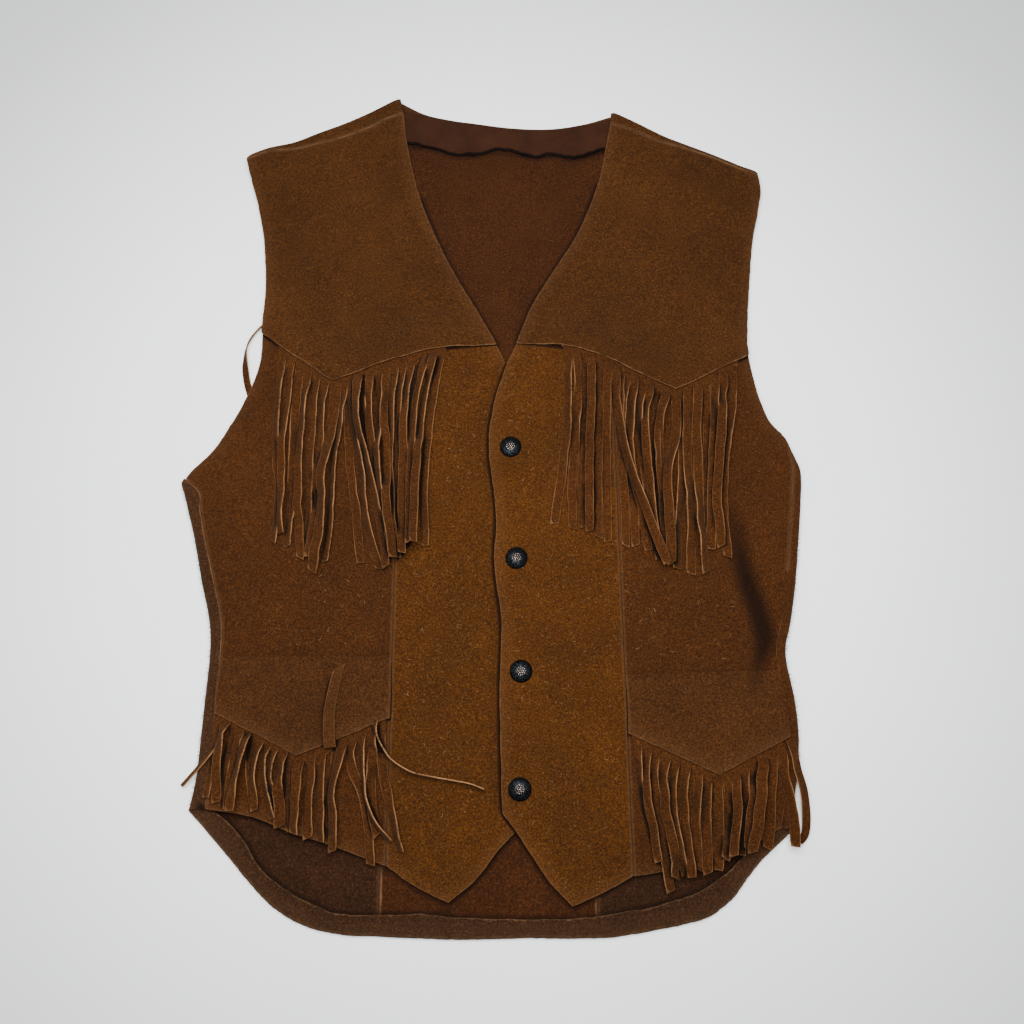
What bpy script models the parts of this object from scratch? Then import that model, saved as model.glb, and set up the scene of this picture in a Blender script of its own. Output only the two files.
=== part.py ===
"""A suede western vest, laid flat on its back with the front fastened.

Metres, +Z up. The origin is on the surface it lies on, under the middle of its
outline. +Y runs from the hem to the shoulders. The wearer's right is -X, so the
right front is the underlap and the left front laps over it.

Each panel is a surface stretched between four edges, drawn on the outside of
the garment and then thickened inwards. The back lies on its outside, and its
cloth rolls round the side folds and the shoulders to the seams on top.
"""

import math

import bmesh
import bpy
import numpy as np
from mathutils import Vector

COLLECTION = "western_vest"

# Cloth
SUEDE = 0.0014            # wall of every panel
FRINGE_SUEDE = 0.0012     # wall of the fringe strips and strands
SEAM_GAP = 0.0003         # between pieces that meet edge to edge
LAYER_GAP = 0.0004        # between pieces that lie on each other

# Rolled edges and resting heights of the outside of the front
SIDE_ROLL = 0.0040        # outer radius of the side folds
SHOULDER_ROLL = 0.0032    # outer radius of the shoulder folds
FRONT_REST = 0.0041       # height in the middle
SIDE_REACH = 0.110        # width over which it climbs to the side folds
SHOULDER_REACH = 0.070    # the same below the shoulders
ARMPIT_FADE = 0.060       # height over which the side climb ends above the armpit

# Laps
YOKE_LAP = 0.008          # how far the yoke lies over the panels below it
FLAP_LAP = 0.008          # how far a pocket flap lies over its fringe strip
LAP_MARGIN = 0.002        # how far the raise stays level past the strip
LAP_EASE = 0.028          # length over which a raised lap settles again
FRINGE_RAISE = SUEDE + FRINGE_SUEDE + 2 * LAYER_GAP
FLAP_RAISE = SUEDE + LAYER_GAP
OVERLAP_EDGE = 0.030      # x to which the raised overlap of the left front is level
OVERLAP_EASE = 0.036
OVERLAP_TOP = (0.085, 0.118)        # y where the raise is whole, and where it starts
OVERLAP_BOTTOM = (-0.240, -0.276)
BACK_ARMHOLE_INSET = 0.006

# Snaps
SNAP_RADIUS = 0.0075
SNAP_DOME = 0.0030
SOCKET_RADIUS = 0.0045
SOCKET_HEIGHT = 0.0014
OVERLAP_RAISE = SUEDE + SOCKET_HEIGHT + 3 * LAYER_GAP
OVERLAP_SAG = 0.0008      # how far the overlap sinks between two snaps
SAG_LENGTH = 0.030

# Snap centres: x, y
SNAPS = ((0.014, 0.018), (0.018, -0.061), (0.021, -0.137), (0.020, -0.212))

# Side folds, from the hem to the armpit: y, x of the fold, fold to side seam
RIGHT_SIDE = (
    (-0.224, -0.192, 0.011),
    (-0.205, -0.189, 0.011),
    (-0.180, -0.188, 0.010),
    (-0.155, -0.187, 0.008),
    (-0.125, -0.186, 0.008),
    (-0.103, -0.188, 0.009),
    (-0.077, -0.195, 0.009),
    (-0.048, -0.202, 0.008),
    (-0.025, -0.208, 0.009),
    (-0.005, -0.216, 0.005),
)
LEFT_SIDE = (
    (-0.236, 0.193, 0.007),
    (-0.205, 0.199, 0.007),
    (-0.180, 0.202, 0.007),
    (-0.155, 0.201, 0.007),
    (-0.125, 0.197, 0.007),
    (-0.103, 0.202, 0.007),
    (-0.077, 0.207, 0.007),
    (-0.048, 0.211, 0.007),
    (-0.025, 0.214, 0.008),
    (-0.001, 0.216, 0.006),
)

# Shoulder folds, from the shoulder tip to the neck: x, y, fold to shoulder seam
RIGHT_SHOULDER = (
    (-0.186, 0.250, 0.0038),
    (-0.170, 0.257, 0.004),
    (-0.150, 0.262, 0.007),
    (-0.132, 0.270, 0.010),
    (-0.113, 0.278, 0.012),
    (-0.095, 0.287, 0.013),
    (-0.083, 0.294, 0.013),
    (-0.071, 0.301, 0.015),
)
LEFT_SHOULDER = (
    (0.200, 0.237, 0.0038),
    (0.189, 0.241, 0.0038),
    (0.176, 0.247, 0.0038),
    (0.163, 0.253, 0.0038),
    (0.142, 0.262, 0.005),
    (0.129, 0.268, 0.007),
    (0.108, 0.280, 0.009),
    (0.091, 0.289, 0.012),
)
# Direction in which each shoulder fold rolls, down into the garment
RIGHT_ACROSS = (0.2, -0.98)
LEFT_ACROSS = (-0.1, -0.995)

# Armholes of the front, from the armpit to the shoulder tip: x, y
RIGHT_ARMHOLE = (
    (-0.204, 0.009), (-0.197, 0.018), (-0.188, 0.031), (-0.175, 0.052),
    (-0.166, 0.080), (-0.165, 0.108), (-0.165, 0.141), (-0.168, 0.175),
    (-0.173, 0.202), (-0.180, 0.227),
)
LEFT_ARMHOLE = (
    (0.213, 0.012), (0.206, 0.025), (0.195, 0.039), (0.188, 0.066),
    (0.184, 0.092), (0.184, 0.101), (0.187, 0.128), (0.190, 0.155),
    (0.193, 0.178), (0.198, 0.202), (0.201, 0.219),
)

# Lower edge of each front yoke: armhole, point, front edge
RIGHT_YOKE_EDGE = ((-0.165, 0.104), (-0.113, 0.068), (-0.048, 0.091), (0.004, 0.096))
LEFT_YOKE_EDGE = ((0.184, 0.087), (0.131, 0.061), (0.068, 0.091), (0.018, 0.096))

# Neck edge of each front, from the yoke's lower edge up to the shoulder seam
RIGHT_NECK = (
    (0.004, 0.096), (-0.011, 0.124), (-0.034, 0.166), (-0.054, 0.215),
    (-0.064, 0.258),
)
LEFT_NECK = (
    (0.018, 0.096), (0.030, 0.128), (0.050, 0.162), (0.065, 0.188),
    (0.080, 0.228), (0.087, 0.262),
)

# Front edges below the yoke, from the hem up: x, y
UNDERLAP_EDGE = (
    (0.027, -0.229), (0.029, -0.160), (0.029, -0.080), (0.028, 0.020),
    (0.019, 0.058), (0.009, 0.085), (0.004, 0.096),
)
OVERLAP_FRONT = (
    (0.009, -0.227), (0.008, -0.199), (0.007, -0.145), (0.008, -0.107),
    (0.003, -0.064), (0.004, -0.028), (-0.001, 0.014), (0.001, 0.045),
    (0.010, 0.077), (0.018, 0.096),
)

# Hems of the fronts: between the two seams, then to the point and on to the edge
RIGHT_SIDE_HEM = ((-0.093, -0.249), (-0.125, -0.239), (-0.151, -0.229))
RIGHT_CENTRE_HEM = ((-0.065, -0.259), (-0.045, -0.272), (-0.025, -0.281))
RIGHT_CENTRE_CUT = (
    (-0.025, -0.281), (-0.009, -0.268), (0.008, -0.248), (0.027, -0.229),
)
LEFT_SIDE_HEM = ((0.120, -0.261), (0.148, -0.256), (0.168, -0.246))
LEFT_CENTRE_HEM = ((0.092, -0.265), (0.072, -0.275), (0.053, -0.283))
LEFT_CENTRE_CUT = ((0.053, -0.283), (0.038, -0.268), (0.022, -0.244), (0.009, -0.227))

# Vertical seams of the front between side and centre panel: hem, yoke
RIGHT_FRONT_SEAM = ((-0.065, -0.259), (-0.0645, 0.085))
LEFT_FRONT_SEAM = ((0.092, -0.265), (0.086, 0.082))

# Back
BACK_SEAM = 0.069         # x of the back's two vertical seams
BACK_YOKE_POINT = (0.005, 0.045)
RIGHT_BACK_CORNER = (-0.159, 0.112)     # yoke seam at the armhole
LEFT_BACK_CORNER = (0.178, 0.100)
BACK_NECK = (
    (-0.052, 0.288), (-0.033, 0.283), (-0.014, 0.280), (0.014, 0.276),
    (0.043, 0.275), (0.069, 0.279),
)
BACK_HEM_RIGHT = (
    (-0.192, -0.224), (-0.180, -0.236), (-0.164, -0.253), (-0.148, -0.270),
    (-0.132, -0.284), (-0.112, -0.294), (-0.091, -0.298), (-0.069, -0.299),
)
BACK_HEM_MIDDLE = ((-0.069, -0.299), (-0.019, -0.301), (0.023, -0.300), (0.069, -0.300))
BACK_HEM_LEFT = (
    (0.193, -0.236), (0.188, -0.241), (0.171, -0.256), (0.154, -0.276),
    (0.137, -0.288), (0.117, -0.293), (0.087, -0.298), (0.069, -0.300),
)
# Turned-up hem on the inside of the back: x, y of its free edge
HEM_TURN = (
    (-0.184, -0.2215), (-0.168, -0.232), (-0.151, -0.248), (-0.134, -0.267),
    (-0.116, -0.281), (-0.091, -0.288), (-0.040, -0.2885), (-0.008, -0.291),
    (0.038, -0.291), (0.066, -0.290), (0.115, -0.281), (0.144, -0.269),
    (0.169, -0.247), (0.184, -0.2325),
)
HEM_INSET = 0.0012        # hem turning to the outline of the back
HEM_CENTRE = (0.0, -0.150)          # the turning is set in towards this point
HEM_ENDS = ((-0.185, -0.2275), (0.185, -0.2405))

# Facing inside the back neck: its ragged lower edge
FACING_EDGE = (
    (-0.062, 0.262), (-0.042, 0.256), (-0.028, 0.251), (-0.011, 0.252),
    (0.000, 0.255), (0.018, 0.253), (0.034, 0.249), (0.043, 0.252),
    (0.062, 0.249), (0.084, 0.256),
)
FACING_TOP = (
    (-0.066, 0.289), (-0.052, 0.2855), (-0.033, 0.2805), (-0.014, 0.2775),
    (0.014, 0.2735), (0.043, 0.2725), (0.069, 0.2765), (0.086, 0.281),
)

# Pocket flaps: y of the top edge at the two seams, then side, point, inner end
RIGHT_FLAP_TOP = (-0.127, -0.127)
RIGHT_FLAP_EDGE = ((-0.178, -0.164), (-0.124, -0.191), (-0.065, -0.167))
LEFT_FLAP_TOP = (-0.136, -0.139)
LEFT_FLAP_EDGE = ((0.195, -0.179), (0.148, -0.203), (0.092, -0.177))

# The soft trough down the left side: y, x, depth
TROUGH = (
    (-0.010, 0.166, 0.0), (-0.033, 0.170, 0.0016), (-0.062, 0.174, 0.0024),
    (-0.094, 0.180, 0.0026), (-0.118, 0.182, 0.0016), (-0.134, 0.180, 0.0),
)
TROUGH_WIDTH = 0.009

# Fringe strips: x of their two ends
RIGHT_YOKE_STRIP = (-0.164, -0.028)
LEFT_YOKE_STRIP = (0.047, 0.183)
RIGHT_POCKET_STRIP = (-0.178, -0.065)
LEFT_POCKET_STRIP = (0.092, 0.195)

# Fringes: x of the root, x of the tip, y of the tip
RIGHT_YOKE_STRANDS = (
    (-0.151, -0.146, -0.046), (-0.138, -0.136, -0.055), (-0.125, -0.123, -0.069),
    (-0.113, -0.111, -0.062), (-0.095, -0.087, -0.066), (-0.075, -0.074, -0.070),
    (-0.060, -0.060, -0.058), (-0.037, -0.044, -0.052),
)
LEFT_YOKE_STRANDS = (
    (0.055, 0.047, -0.036), (0.068, 0.061, -0.040), (0.092, 0.090, -0.050),
    (0.110, 0.108, -0.058), (0.125, 0.124, -0.069), (0.140, 0.136, -0.072),
    (0.152, 0.147, -0.066), (0.163, 0.157, -0.054), (0.170, 0.165, -0.056),
)
RIGHT_POCKET_STRANDS = (
    (-0.173, -0.172, -0.221), (-0.150, -0.150, -0.230), (-0.138, -0.131, -0.236),
    (-0.124, -0.117, -0.241), (-0.110, -0.103, -0.247), (-0.095, -0.090, -0.252),
    (-0.082, -0.072, -0.258), (-0.074, -0.062, -0.246), (-0.068, -0.055, -0.251),
)
LEFT_POCKET_STRANDS = (
    (0.096, 0.110, -0.270), (0.104, 0.118, -0.268), (0.115, 0.127, -0.267),
    (0.130, 0.140, -0.263), (0.145, 0.153, -0.254), (0.158, 0.164, -0.251),
    (0.172, 0.177, -0.248), (0.192, 0.193, -0.246),
)
STRAND_WIDTH = 0.0052
STRAND_TAPER = 0.25       # share of the width lost at the tip
STRAND_SWAY = 0.0016
SWAY_TURN = 1.7           # how the sway differs from one strand to the next
SWAY_WAVE = 4.4           # how much of a wave a strand makes down its length
TIP_SPREAD = 0.004
TIP_TURN = 2.3
SHORT_STEP = 0.004        # over a shorter step a strand keeps its direction
STRAND_CELLS = 5
ROOT_DROP = 0.005         # straight stretch of a strand as it leaves the seam
LEVEL = FRINGE_SUEDE + LAYER_GAP
BED = 0.007               # reach of a strand's bed on the panel under it

# Strands that lie their own way: x, y, height of the upper side, width
FLARED_STRAND = (
    (-0.1755, -0.171, 0.0094, 0.0045), (-0.1785, -0.183, 0.0100, 0.0045),
    (-0.187, -0.192, 0.0104, 0.0045), (-0.193, -0.201, 0.0086, 0.0040),
    (-0.199, -0.210, 0.0058, 0.0030),
)
LONG_STRAND = (
    (-0.0735, -0.176, 0.0062, 0.0040), (-0.070, -0.183, 0.0092, 0.0030),
    (-0.063, -0.193, 0.0092, 0.0026), (-0.051, -0.202, 0.0090, 0.0026),
    (-0.036, -0.206, 0.0080, 0.0024), (-0.018, -0.207, 0.0070, 0.0024),
    (-0.003, -0.212, 0.0070, 0.0020),
)
SPREAD_STRAND = (
    (0.1952, -0.185, 0.0098, 0.0040), (0.1985, -0.204, 0.0104, 0.0050),
    (0.204, -0.218, 0.0076, 0.0050), (0.2055, -0.231, 0.0052, 0.0048),
    (0.203, -0.240, 0.0036, 0.0044), (0.198, -0.246, 0.0026, 0.0036),
)
BACK_STRIP = ((-0.1642, -0.1598), (0.1085, 0.1170))     # x and y of its edges
BACK_STRAND = (
    (-0.1650, 0.1075, 0.0017, 0.0034), (-0.1700, 0.1020, 0.0024, 0.0034),
    (-0.1742, 0.0960, 0.0030, 0.0036), (-0.1750, 0.0890, 0.0030, 0.0044),
    (-0.1735, 0.0800, 0.0026, 0.0050), (-0.1725, 0.0700, 0.0021, 0.0048),
    (-0.1735, 0.0600, 0.0018, 0.0040),
)
FLIPPED_ROOT = -0.1025    # root of the strand that is turned up over the right flap
FLIPPED_LENGTH = 0.048
FLIPPED_LEAN = 0.004
FLIPPED_WIDTH = 0.0066
FLIPPED_TAPER = 0.2
# The turn round the flap's edge: distance past the edge, height over the panel
FLIPPED_TURN = (
    (0.0018, 0.0016), (0.0034, 0.0020), (0.0042, 0.0030), (0.0034, 0.0040),
    (0.0014, 0.0044),
)
# Its sections along the flap, as shares of its length
FLIPPED_SECTIONS = (0.06, 0.24, 0.50, 0.75, 1.00)
# Roots of the plain strands of each pocket fringe: first x, last x, count
RIGHT_POCKET_ROOTS = ((-0.1694, -0.1088, 11), (-0.0962, -0.0785, 4))
RIGHT_POCKET_LAST_ROOT = -0.0685
LEFT_POCKET_ROOTS = (0.096, 0.1895, 16)
RIGHT_YOKE_ROOTS = (-0.151, -0.037, 19)
LEFT_YOKE_ROOTS = (0.055, 0.170, 19)
STRIP_EDGES = (0.12, 0.90)          # edges of a strip, as shares of the lap over it
STRIP_CELL = 0.012                  # length of a strip's plain cells

# Cells of the panels
SIDE_CELLS = len(RIGHT_SIDE) - 1    # hem to armpit
ARMHOLE_CELLS = 5                   # armpit to yoke
ROLL_CELLS = 5
YOKE_CELLS = (3, 4)                 # armhole to point, point to front edge
SHOULDER_CELLS = sum(YOKE_CELLS)
NECK_CELLS = 6
BACK_CELLS = 6
CENTRE_CELLS = 3                    # on each side of the centre panel's point
FLAP_CELLS = 3                      # on each side of a flap's point
HEM_CELLS = 26
FACING_CELLS = 14
CAP_STEPS = 20
SOCKET_SIDES = 14
CURVE_STEPS = 12                    # points of a smooth line for each given point
# Rows of a yoke and of a flap, as shares of their height, close together at the lap
YOKE_ROWS = (0, 0.062, 0.15, 0.27, 0.416, 0.562, 0.708, 0.854, 1)
FLAP_ROWS = (0, 0.24, 0.6, 1)
# Columns of a side panel, as shares of its two stretches: seam to point, point to side
INNER_SHARE = 0.46
RIGHT_COLUMNS = ((0, 0.333, 0.667, 1), (0, 0.333, 0.667, 1))
LEFT_COLUMNS = ((0, 0.5, 1), (0, 0.22, 0.38, 0.52, 0.66, 0.82, 1))
# Profile of a snap cap: share of the radius
CAP_RINGS = (0.30, 0.55, 0.78, 0.93)
CAP_FALL = 0.92           # how much of the dome is gone at the rim
CAP_SKIRT = 0.22          # height of the straight rim, as a share of the dome

# Colours and finish: red, green, blue, roughness, metallic
SUEDE_LOOK = (0.080, 0.027, 0.008, 0.95, 0.0)
SUEDE_DARK_LOOK = (0.065, 0.022, 0.007, 0.95, 0.0)
FACING_LOOK = (0.048, 0.020, 0.012, 0.70, 0.0)
METAL_LOOK = (0.060, 0.050, 0.046, 0.35, 1.0)


def smooth(share):
    """0 to 1 with level ends."""
    share = min(1.0, max(0.0, share))
    return share * share * (3 - 2 * share)


def fall(distance, reach):
    """1 at no distance, 0 at the reach."""
    return 1 - smooth(distance / reach)


def curve(points):
    """A smooth line through the points, as an array of many points."""
    p = np.array(points, float)
    if len(p) < 3:
        return p
    p = np.vstack([2 * p[0] - p[1], p, 2 * p[-1] - p[-2]])
    line = []
    for k in range(1, len(p) - 2):
        for t in np.linspace(0, 1, CURVE_STEPS, endpoint=False):
            line.append(0.5 * (
                2 * p[k] + (p[k + 1] - p[k - 1]) * t
                + (2 * p[k - 1] - 5 * p[k] + 4 * p[k + 1] - p[k + 2]) * t ** 2
                + (3 * p[k] - p[k - 1] - 3 * p[k + 1] + p[k + 2]) * t ** 3
            ))
    return np.vstack([line, p[-2]])


def at(line, shares):
    """Points at these shares of the line's length."""
    line = np.array(line, float)
    steps = np.linalg.norm(np.diff(line[:, :2], axis=0), axis=1)
    run = np.concatenate([[0], np.cumsum(steps)])
    wanted = np.array(shares) * run[-1]
    return np.stack([np.interp(wanted, run, line[:, k]) for k in range(line.shape[1])], 1)


def split(line, cells):
    """Evenly spaced points along a line."""
    return at(line, np.linspace(0, 1, cells + 1))


def join(*runs):
    """Runs of points end to end, each shared end kept once."""
    return np.vstack([runs[0]] + [run[1:] for run in runs[1:]])


def cross_at(line, y):
    """The point at which a rising line reaches height y."""
    return (float(np.interp(y, line[:, 1], line[:, 0])), y)


def edge_y(edge, x):
    """y at x of an edge given by its corners."""
    corners = np.array(sorted(edge))
    return float(np.interp(x, corners[:, 0], corners[:, 1]))


def side_climb(x, y, side, inwards):
    """How far the front has climbed towards a side fold, 0 to 1."""
    rows = np.array(side)
    seam = np.interp(y, rows[:, 0], rows[:, 1] + inwards * rows[:, 2])
    climb = fall(max(0.0, (x - seam) * inwards), SIDE_REACH)
    return climb * fall(max(0.0, y - rows[-1, 0]), ARMPIT_FADE)


def shoulder_climb(x, y):
    """How far the front has climbed towards the shoulder folds, 0 to 1."""
    rows = np.array(RIGHT_SHOULDER if x < 0 else LEFT_SHOULDER[::-1])
    seam = np.interp(x, rows[:, 0], rows[:, 1] - rows[:, 2])
    return fall(max(0.0, seam - y), SHOULDER_REACH)


def trough(x, y):
    """Depth of the soft trough down the left side."""
    rows = np.array(TROUGH[::-1])
    centre = np.interp(y, rows[:, 0], rows[:, 1])
    depth = np.interp(y, rows[:, 0], rows[:, 2])
    return depth * math.exp(-((x - centre) / TROUGH_WIDTH) ** 2)


def right_height(x, y):
    """Height of the outside of the right front where nothing is lapped under it."""
    sides = side_climb(x, y, RIGHT_SIDE, 1) + side_climb(x, y, LEFT_SIDE, -1)
    return (
        FRONT_REST
        + (2 * SIDE_ROLL - FRONT_REST) * sides
        + (2 * SHOULDER_ROLL - FRONT_REST) * shoulder_climb(x, y)
        - trough(x, y)
    )


def left_height(x, y):
    """The same for the left front, raised along the overlap and let down between snaps."""
    near = max(math.exp(-((y - snap_y) / SAG_LENGTH) ** 2) for _, snap_y in SNAPS)
    lift = OVERLAP_RAISE - OVERLAP_SAG * (1 - near)
    lift *= fall(max(0.0, x - OVERLAP_EDGE), OVERLAP_EASE)
    lift *= fall(max(0.0, y - OVERLAP_TOP[0]), OVERLAP_TOP[1] - OVERLAP_TOP[0])
    lift *= fall(max(0.0, OVERLAP_BOTTOM[0] - y), OVERLAP_BOTTOM[0] - OVERLAP_BOTTOM[1])
    return right_height(x, y) + lift


def lapped_height(height, edge, lap, resting):
    """Height of a piece that rests on a panel and is raised over a fringe strip at its edge."""
    def over(x, y):
        past = max(0.0, y - edge_y(edge, x) - lap - LAP_MARGIN)
        return height(x, y) + resting + (FRINGE_RAISE - resting) * fall(past, LAP_EASE)
    return over


def patch(bottom, top, left, right):
    """Points of a flat surface stretched between four edges, by row and column."""
    columns, rows = len(bottom) - 1, len(left) - 1
    u = (np.arange(columns + 1) / columns)[None, :, None]
    v = (np.arange(rows + 1) / rows)[:, None, None]
    across = (1 - v) * bottom[None] + v * top[None]
    upwards = (1 - u) * left[:, None] + u * right[:, None]
    corners = (
        (1 - u) * (1 - v) * bottom[0] + u * (1 - v) * bottom[-1]
        + (1 - u) * v * top[0] + u * v * top[-1]
    )
    return across + upwards - corners


def placed(flat, height):
    """The points of a flat patch at their heights."""
    return [[(x, y, height(x, y)) for x, y in row] for row in flat]


def on_floor(x, y):
    """Height of the outside of the back, which lies on the floor."""
    return 0.0


def sheet_mesh(name, places, dropped=(), faces_down=False):
    """A mesh with a vertex at each place, without the dropped cells (column, row)."""
    rows, columns = len(places), len(places[0])
    bm = bmesh.new()
    bmesh.ops.create_grid(bm, x_segments=columns - 1, y_segments=rows - 1, size=1)
    cell = {}
    for v in bm.verts:
        column = round((v.co.x + 1) / 2 * (columns - 1))
        row = round((v.co.y + 1) / 2 * (rows - 1))
        cell[v] = (column, row)
    gone = [f for f in bm.faces if min(cell[v] for v in f.verts) in dropped]
    bmesh.ops.delete(bm, geom=gone, context="FACES")
    for v in bm.verts:
        column, row = cell[v]
        v.co = places[row][column]
    face_up_or_down(bm, bm.faces[:][0], faces_down)
    mesh = bpy.data.meshes.new(name)
    bm.to_mesh(mesh)
    bm.free()
    return mesh


def face_up_or_down(bm, face, faces_down):
    """Turns all faces so that the given one looks up, or down."""
    face.normal_update()
    if (face.normal.z < 0) != faces_down:
        bmesh.ops.reverse_faces(bm, faces=bm.faces[:])


def look(name, red, green, blue, roughness, metallic):
    """A plain material for one sub-part."""
    material = bpy.data.materials.new(name)
    material.use_nodes = True
    shader = material.node_tree.nodes["Principled BSDF"]
    shader.inputs["Base Color"].default_value = (red, green, blue, 1)
    shader.inputs["Roughness"].default_value = roughness
    shader.inputs["Metallic"].default_value = metallic
    material.diffuse_color = (red, green, blue, 1)
    return material


def piece(name, mesh, finish):
    """An object of that mesh, in the vest's collection, with its own material."""
    thing = bpy.data.objects.new(name, mesh)
    bpy.data.collections[COLLECTION].objects.link(thing)
    mesh.materials.append(look(name, *finish))
    return thing


def cloth(name, mesh, finish=SUEDE_LOOK, wall=SUEDE):
    """A sheet thickened towards the inside of the garment."""
    thing = piece(name, mesh, finish)
    thickness = thing.modifiers.new("wall", "SOLIDIFY")
    thickness.thickness = wall
    thickness.offset = -1
    thickness.use_even_offset = True
    return thing


def side_line(side, inwards, inset=None):
    """Points by the rows of a side fold, moved in by the inset or else to the side seam."""
    return np.array([
        (x + inwards * (seam + SEAM_GAP if inset is None else inset), y)
        for y, x, seam in side
    ])


def shoulder_line(shoulder, across, inset=None):
    """Points along a shoulder fold, moved in by the inset or else to the shoulder seam."""
    line = []
    for x, y, seam in split(curve(shoulder), SHOULDER_CELLS):
        moved = seam + SEAM_GAP if inset is None else inset
        line.append((x + across[0] * moved, y + across[1] * moved))
    return np.array(line)


def roll(fold, across, radius, seam):
    """Places round a rolled edge, from the floor to the seam on top."""
    places = []
    for k in range(1, ROLL_CELLS + 1):
        turn = math.pi * k / ROLL_CELLS
        out = radius - radius * math.sin(turn)
        height = radius - radius * math.cos(turn)
        places.append((fold[0] + across[0] * out, fold[1] + across[1] * out, height))
    places.append((fold[0] + across[0] * seam, fold[1] + across[1] * seam, 2 * radius))
    return places


def front_side(name, side, inwards, armhole, hem, seam, yoke_edge, columns, height):
    """The side panel of a front, from the vertical seam out to the side seam and armhole."""
    edge = side_line(side, inwards)
    arm = curve(np.vstack([edge[-1], armhole]))
    corner = cross_at(arm, yoke_edge[0][1] + YOKE_LAP)
    arm = np.vstack([arm[arm[:, 1] < corner[1]], corner])
    outer = join(edge, split(arm, ARMHOLE_CELLS))
    seam_x = [x - inwards * SEAM_GAP / 2 for x, _ in seam]
    inner_top = (seam_x[1], edge_y(yoke_edge, seam_x[1]) + YOKE_LAP)
    inner = split([(seam_x[0], seam[0][1]), inner_top], len(outer) - 1)
    point = (yoke_edge[1][0], yoke_edge[1][1] + YOKE_LAP)
    top = join(at([inner_top, point], columns[0]), at([point, corner], columns[1]))
    shares = [INNER_SHARE * share for share in columns[0]]
    shares += [INNER_SHARE + (1 - INNER_SHARE) * share for share in columns[1][1:]]
    bottom = at(curve([inner[0]] + list(hem) + [outer[0]]), shares)
    mesh = sheet_mesh(name, placed(patch(bottom, top, inner, outer), height))
    return cloth(name, mesh)


def front_centre(name, outwards, seam, hem, cut, edge, yoke_edge, height):
    """The centre panel of a front, from the vertical seam to the front edge."""
    rows = SIDE_CELLS + ARMHOLE_CELLS
    seam_x = [x - outwards * SEAM_GAP / 2 for x, _ in seam]
    seam_top = (seam_x[1], edge_y(yoke_edge, seam_x[1]) + YOKE_LAP)
    outer = split([(seam_x[0], seam[0][1]), seam_top], rows)
    front_line = curve(edge)
    slope = front_line[-1] - front_line[-2]
    front_line = np.vstack([front_line, front_line[-1] + slope * (YOKE_LAP / slope[1])])
    inner = split(front_line, rows)
    top = split([outer[-1], inner[-1]], 2 * CENTRE_CELLS)
    point_line = curve([outer[0]] + list(hem[1:]))
    bottom = join(split(point_line, CENTRE_CELLS), split(curve(cut), CENTRE_CELLS))
    mesh = sheet_mesh(name, placed(patch(bottom, top, outer, inner), height))
    return cloth(name, mesh)


def front_yoke(name, shoulder, across, armhole, yoke_edge, neck, height):
    """The upper part of a front, lapped over the panels below it."""
    top = shoulder_line(shoulder, across)
    bottom = join(
        split(yoke_edge[:2], YOKE_CELLS[0]),
        split(curve(yoke_edge[1:]), YOKE_CELLS[1]),
    )
    arm = curve(list(armhole) + [tuple(top[0])])
    arm = np.vstack([yoke_edge[0], arm[arm[:, 1] > yoke_edge[0][1]]])
    neckline = curve(list(neck) + [tuple(top[-1])])
    flat = patch(bottom, top, at(arm, YOKE_ROWS), at(neckline, YOKE_ROWS))
    lapped = lapped_height(height, yoke_edge, YOKE_LAP, 0.0)
    return cloth(name, sheet_mesh(name, placed(flat, lapped)))


def pocket_flap(name, side, inwards, top_y, flap_edge, seam, height):
    """A pointed flap sewn between the side seam and the vertical seam."""
    side_seam = side_line(side, inwards)
    seam_y, seam_x = zip((seam[0][1], seam[0][0]), (seam[1][1], seam[1][0]))
    outer, inner = [], []
    for share in FLAP_ROWS:
        y = flap_edge[0][1] + (top_y[0] - flap_edge[0][1]) * share
        outer.append((np.interp(y, side_seam[:, 1], side_seam[:, 0]), y))
        y = flap_edge[2][1] + (top_y[1] - flap_edge[2][1]) * share
        inner.append((np.interp(y, seam_y, seam_x) - inwards * SEAM_GAP, y))
    bottom = join(
        split([outer[0], flap_edge[1]], FLAP_CELLS), split([flap_edge[1], inner[0]], FLAP_CELLS)
    )
    top = split([outer[-1], inner[-1]], 2 * FLAP_CELLS)
    flat = patch(bottom, top, np.array(outer), np.array(inner))
    lapped = lapped_height(height, flap_edge, FLAP_LAP, FLAP_RAISE)
    return cloth(name, sheet_mesh(name, placed(flat, lapped)))


def back_armhole(side, inwards, armhole, tip):
    """The back's armhole, armpit to shoulder, set in from the front's."""
    start = side_line(side, inwards, SIDE_ROLL)[-1]
    line = curve(np.vstack([start, armhole, tip]))
    shares = np.linspace(0, 1, len(line))
    line[:, 0] += inwards * BACK_ARMHOLE_INSET * np.sin(math.pi * shares)
    return line


def yoke_seam(x):
    """The point at x on the back yoke's lower seam."""
    return (x, edge_y((RIGHT_BACK_CORNER, BACK_YOKE_POINT, LEFT_BACK_CORNER), x))


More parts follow.
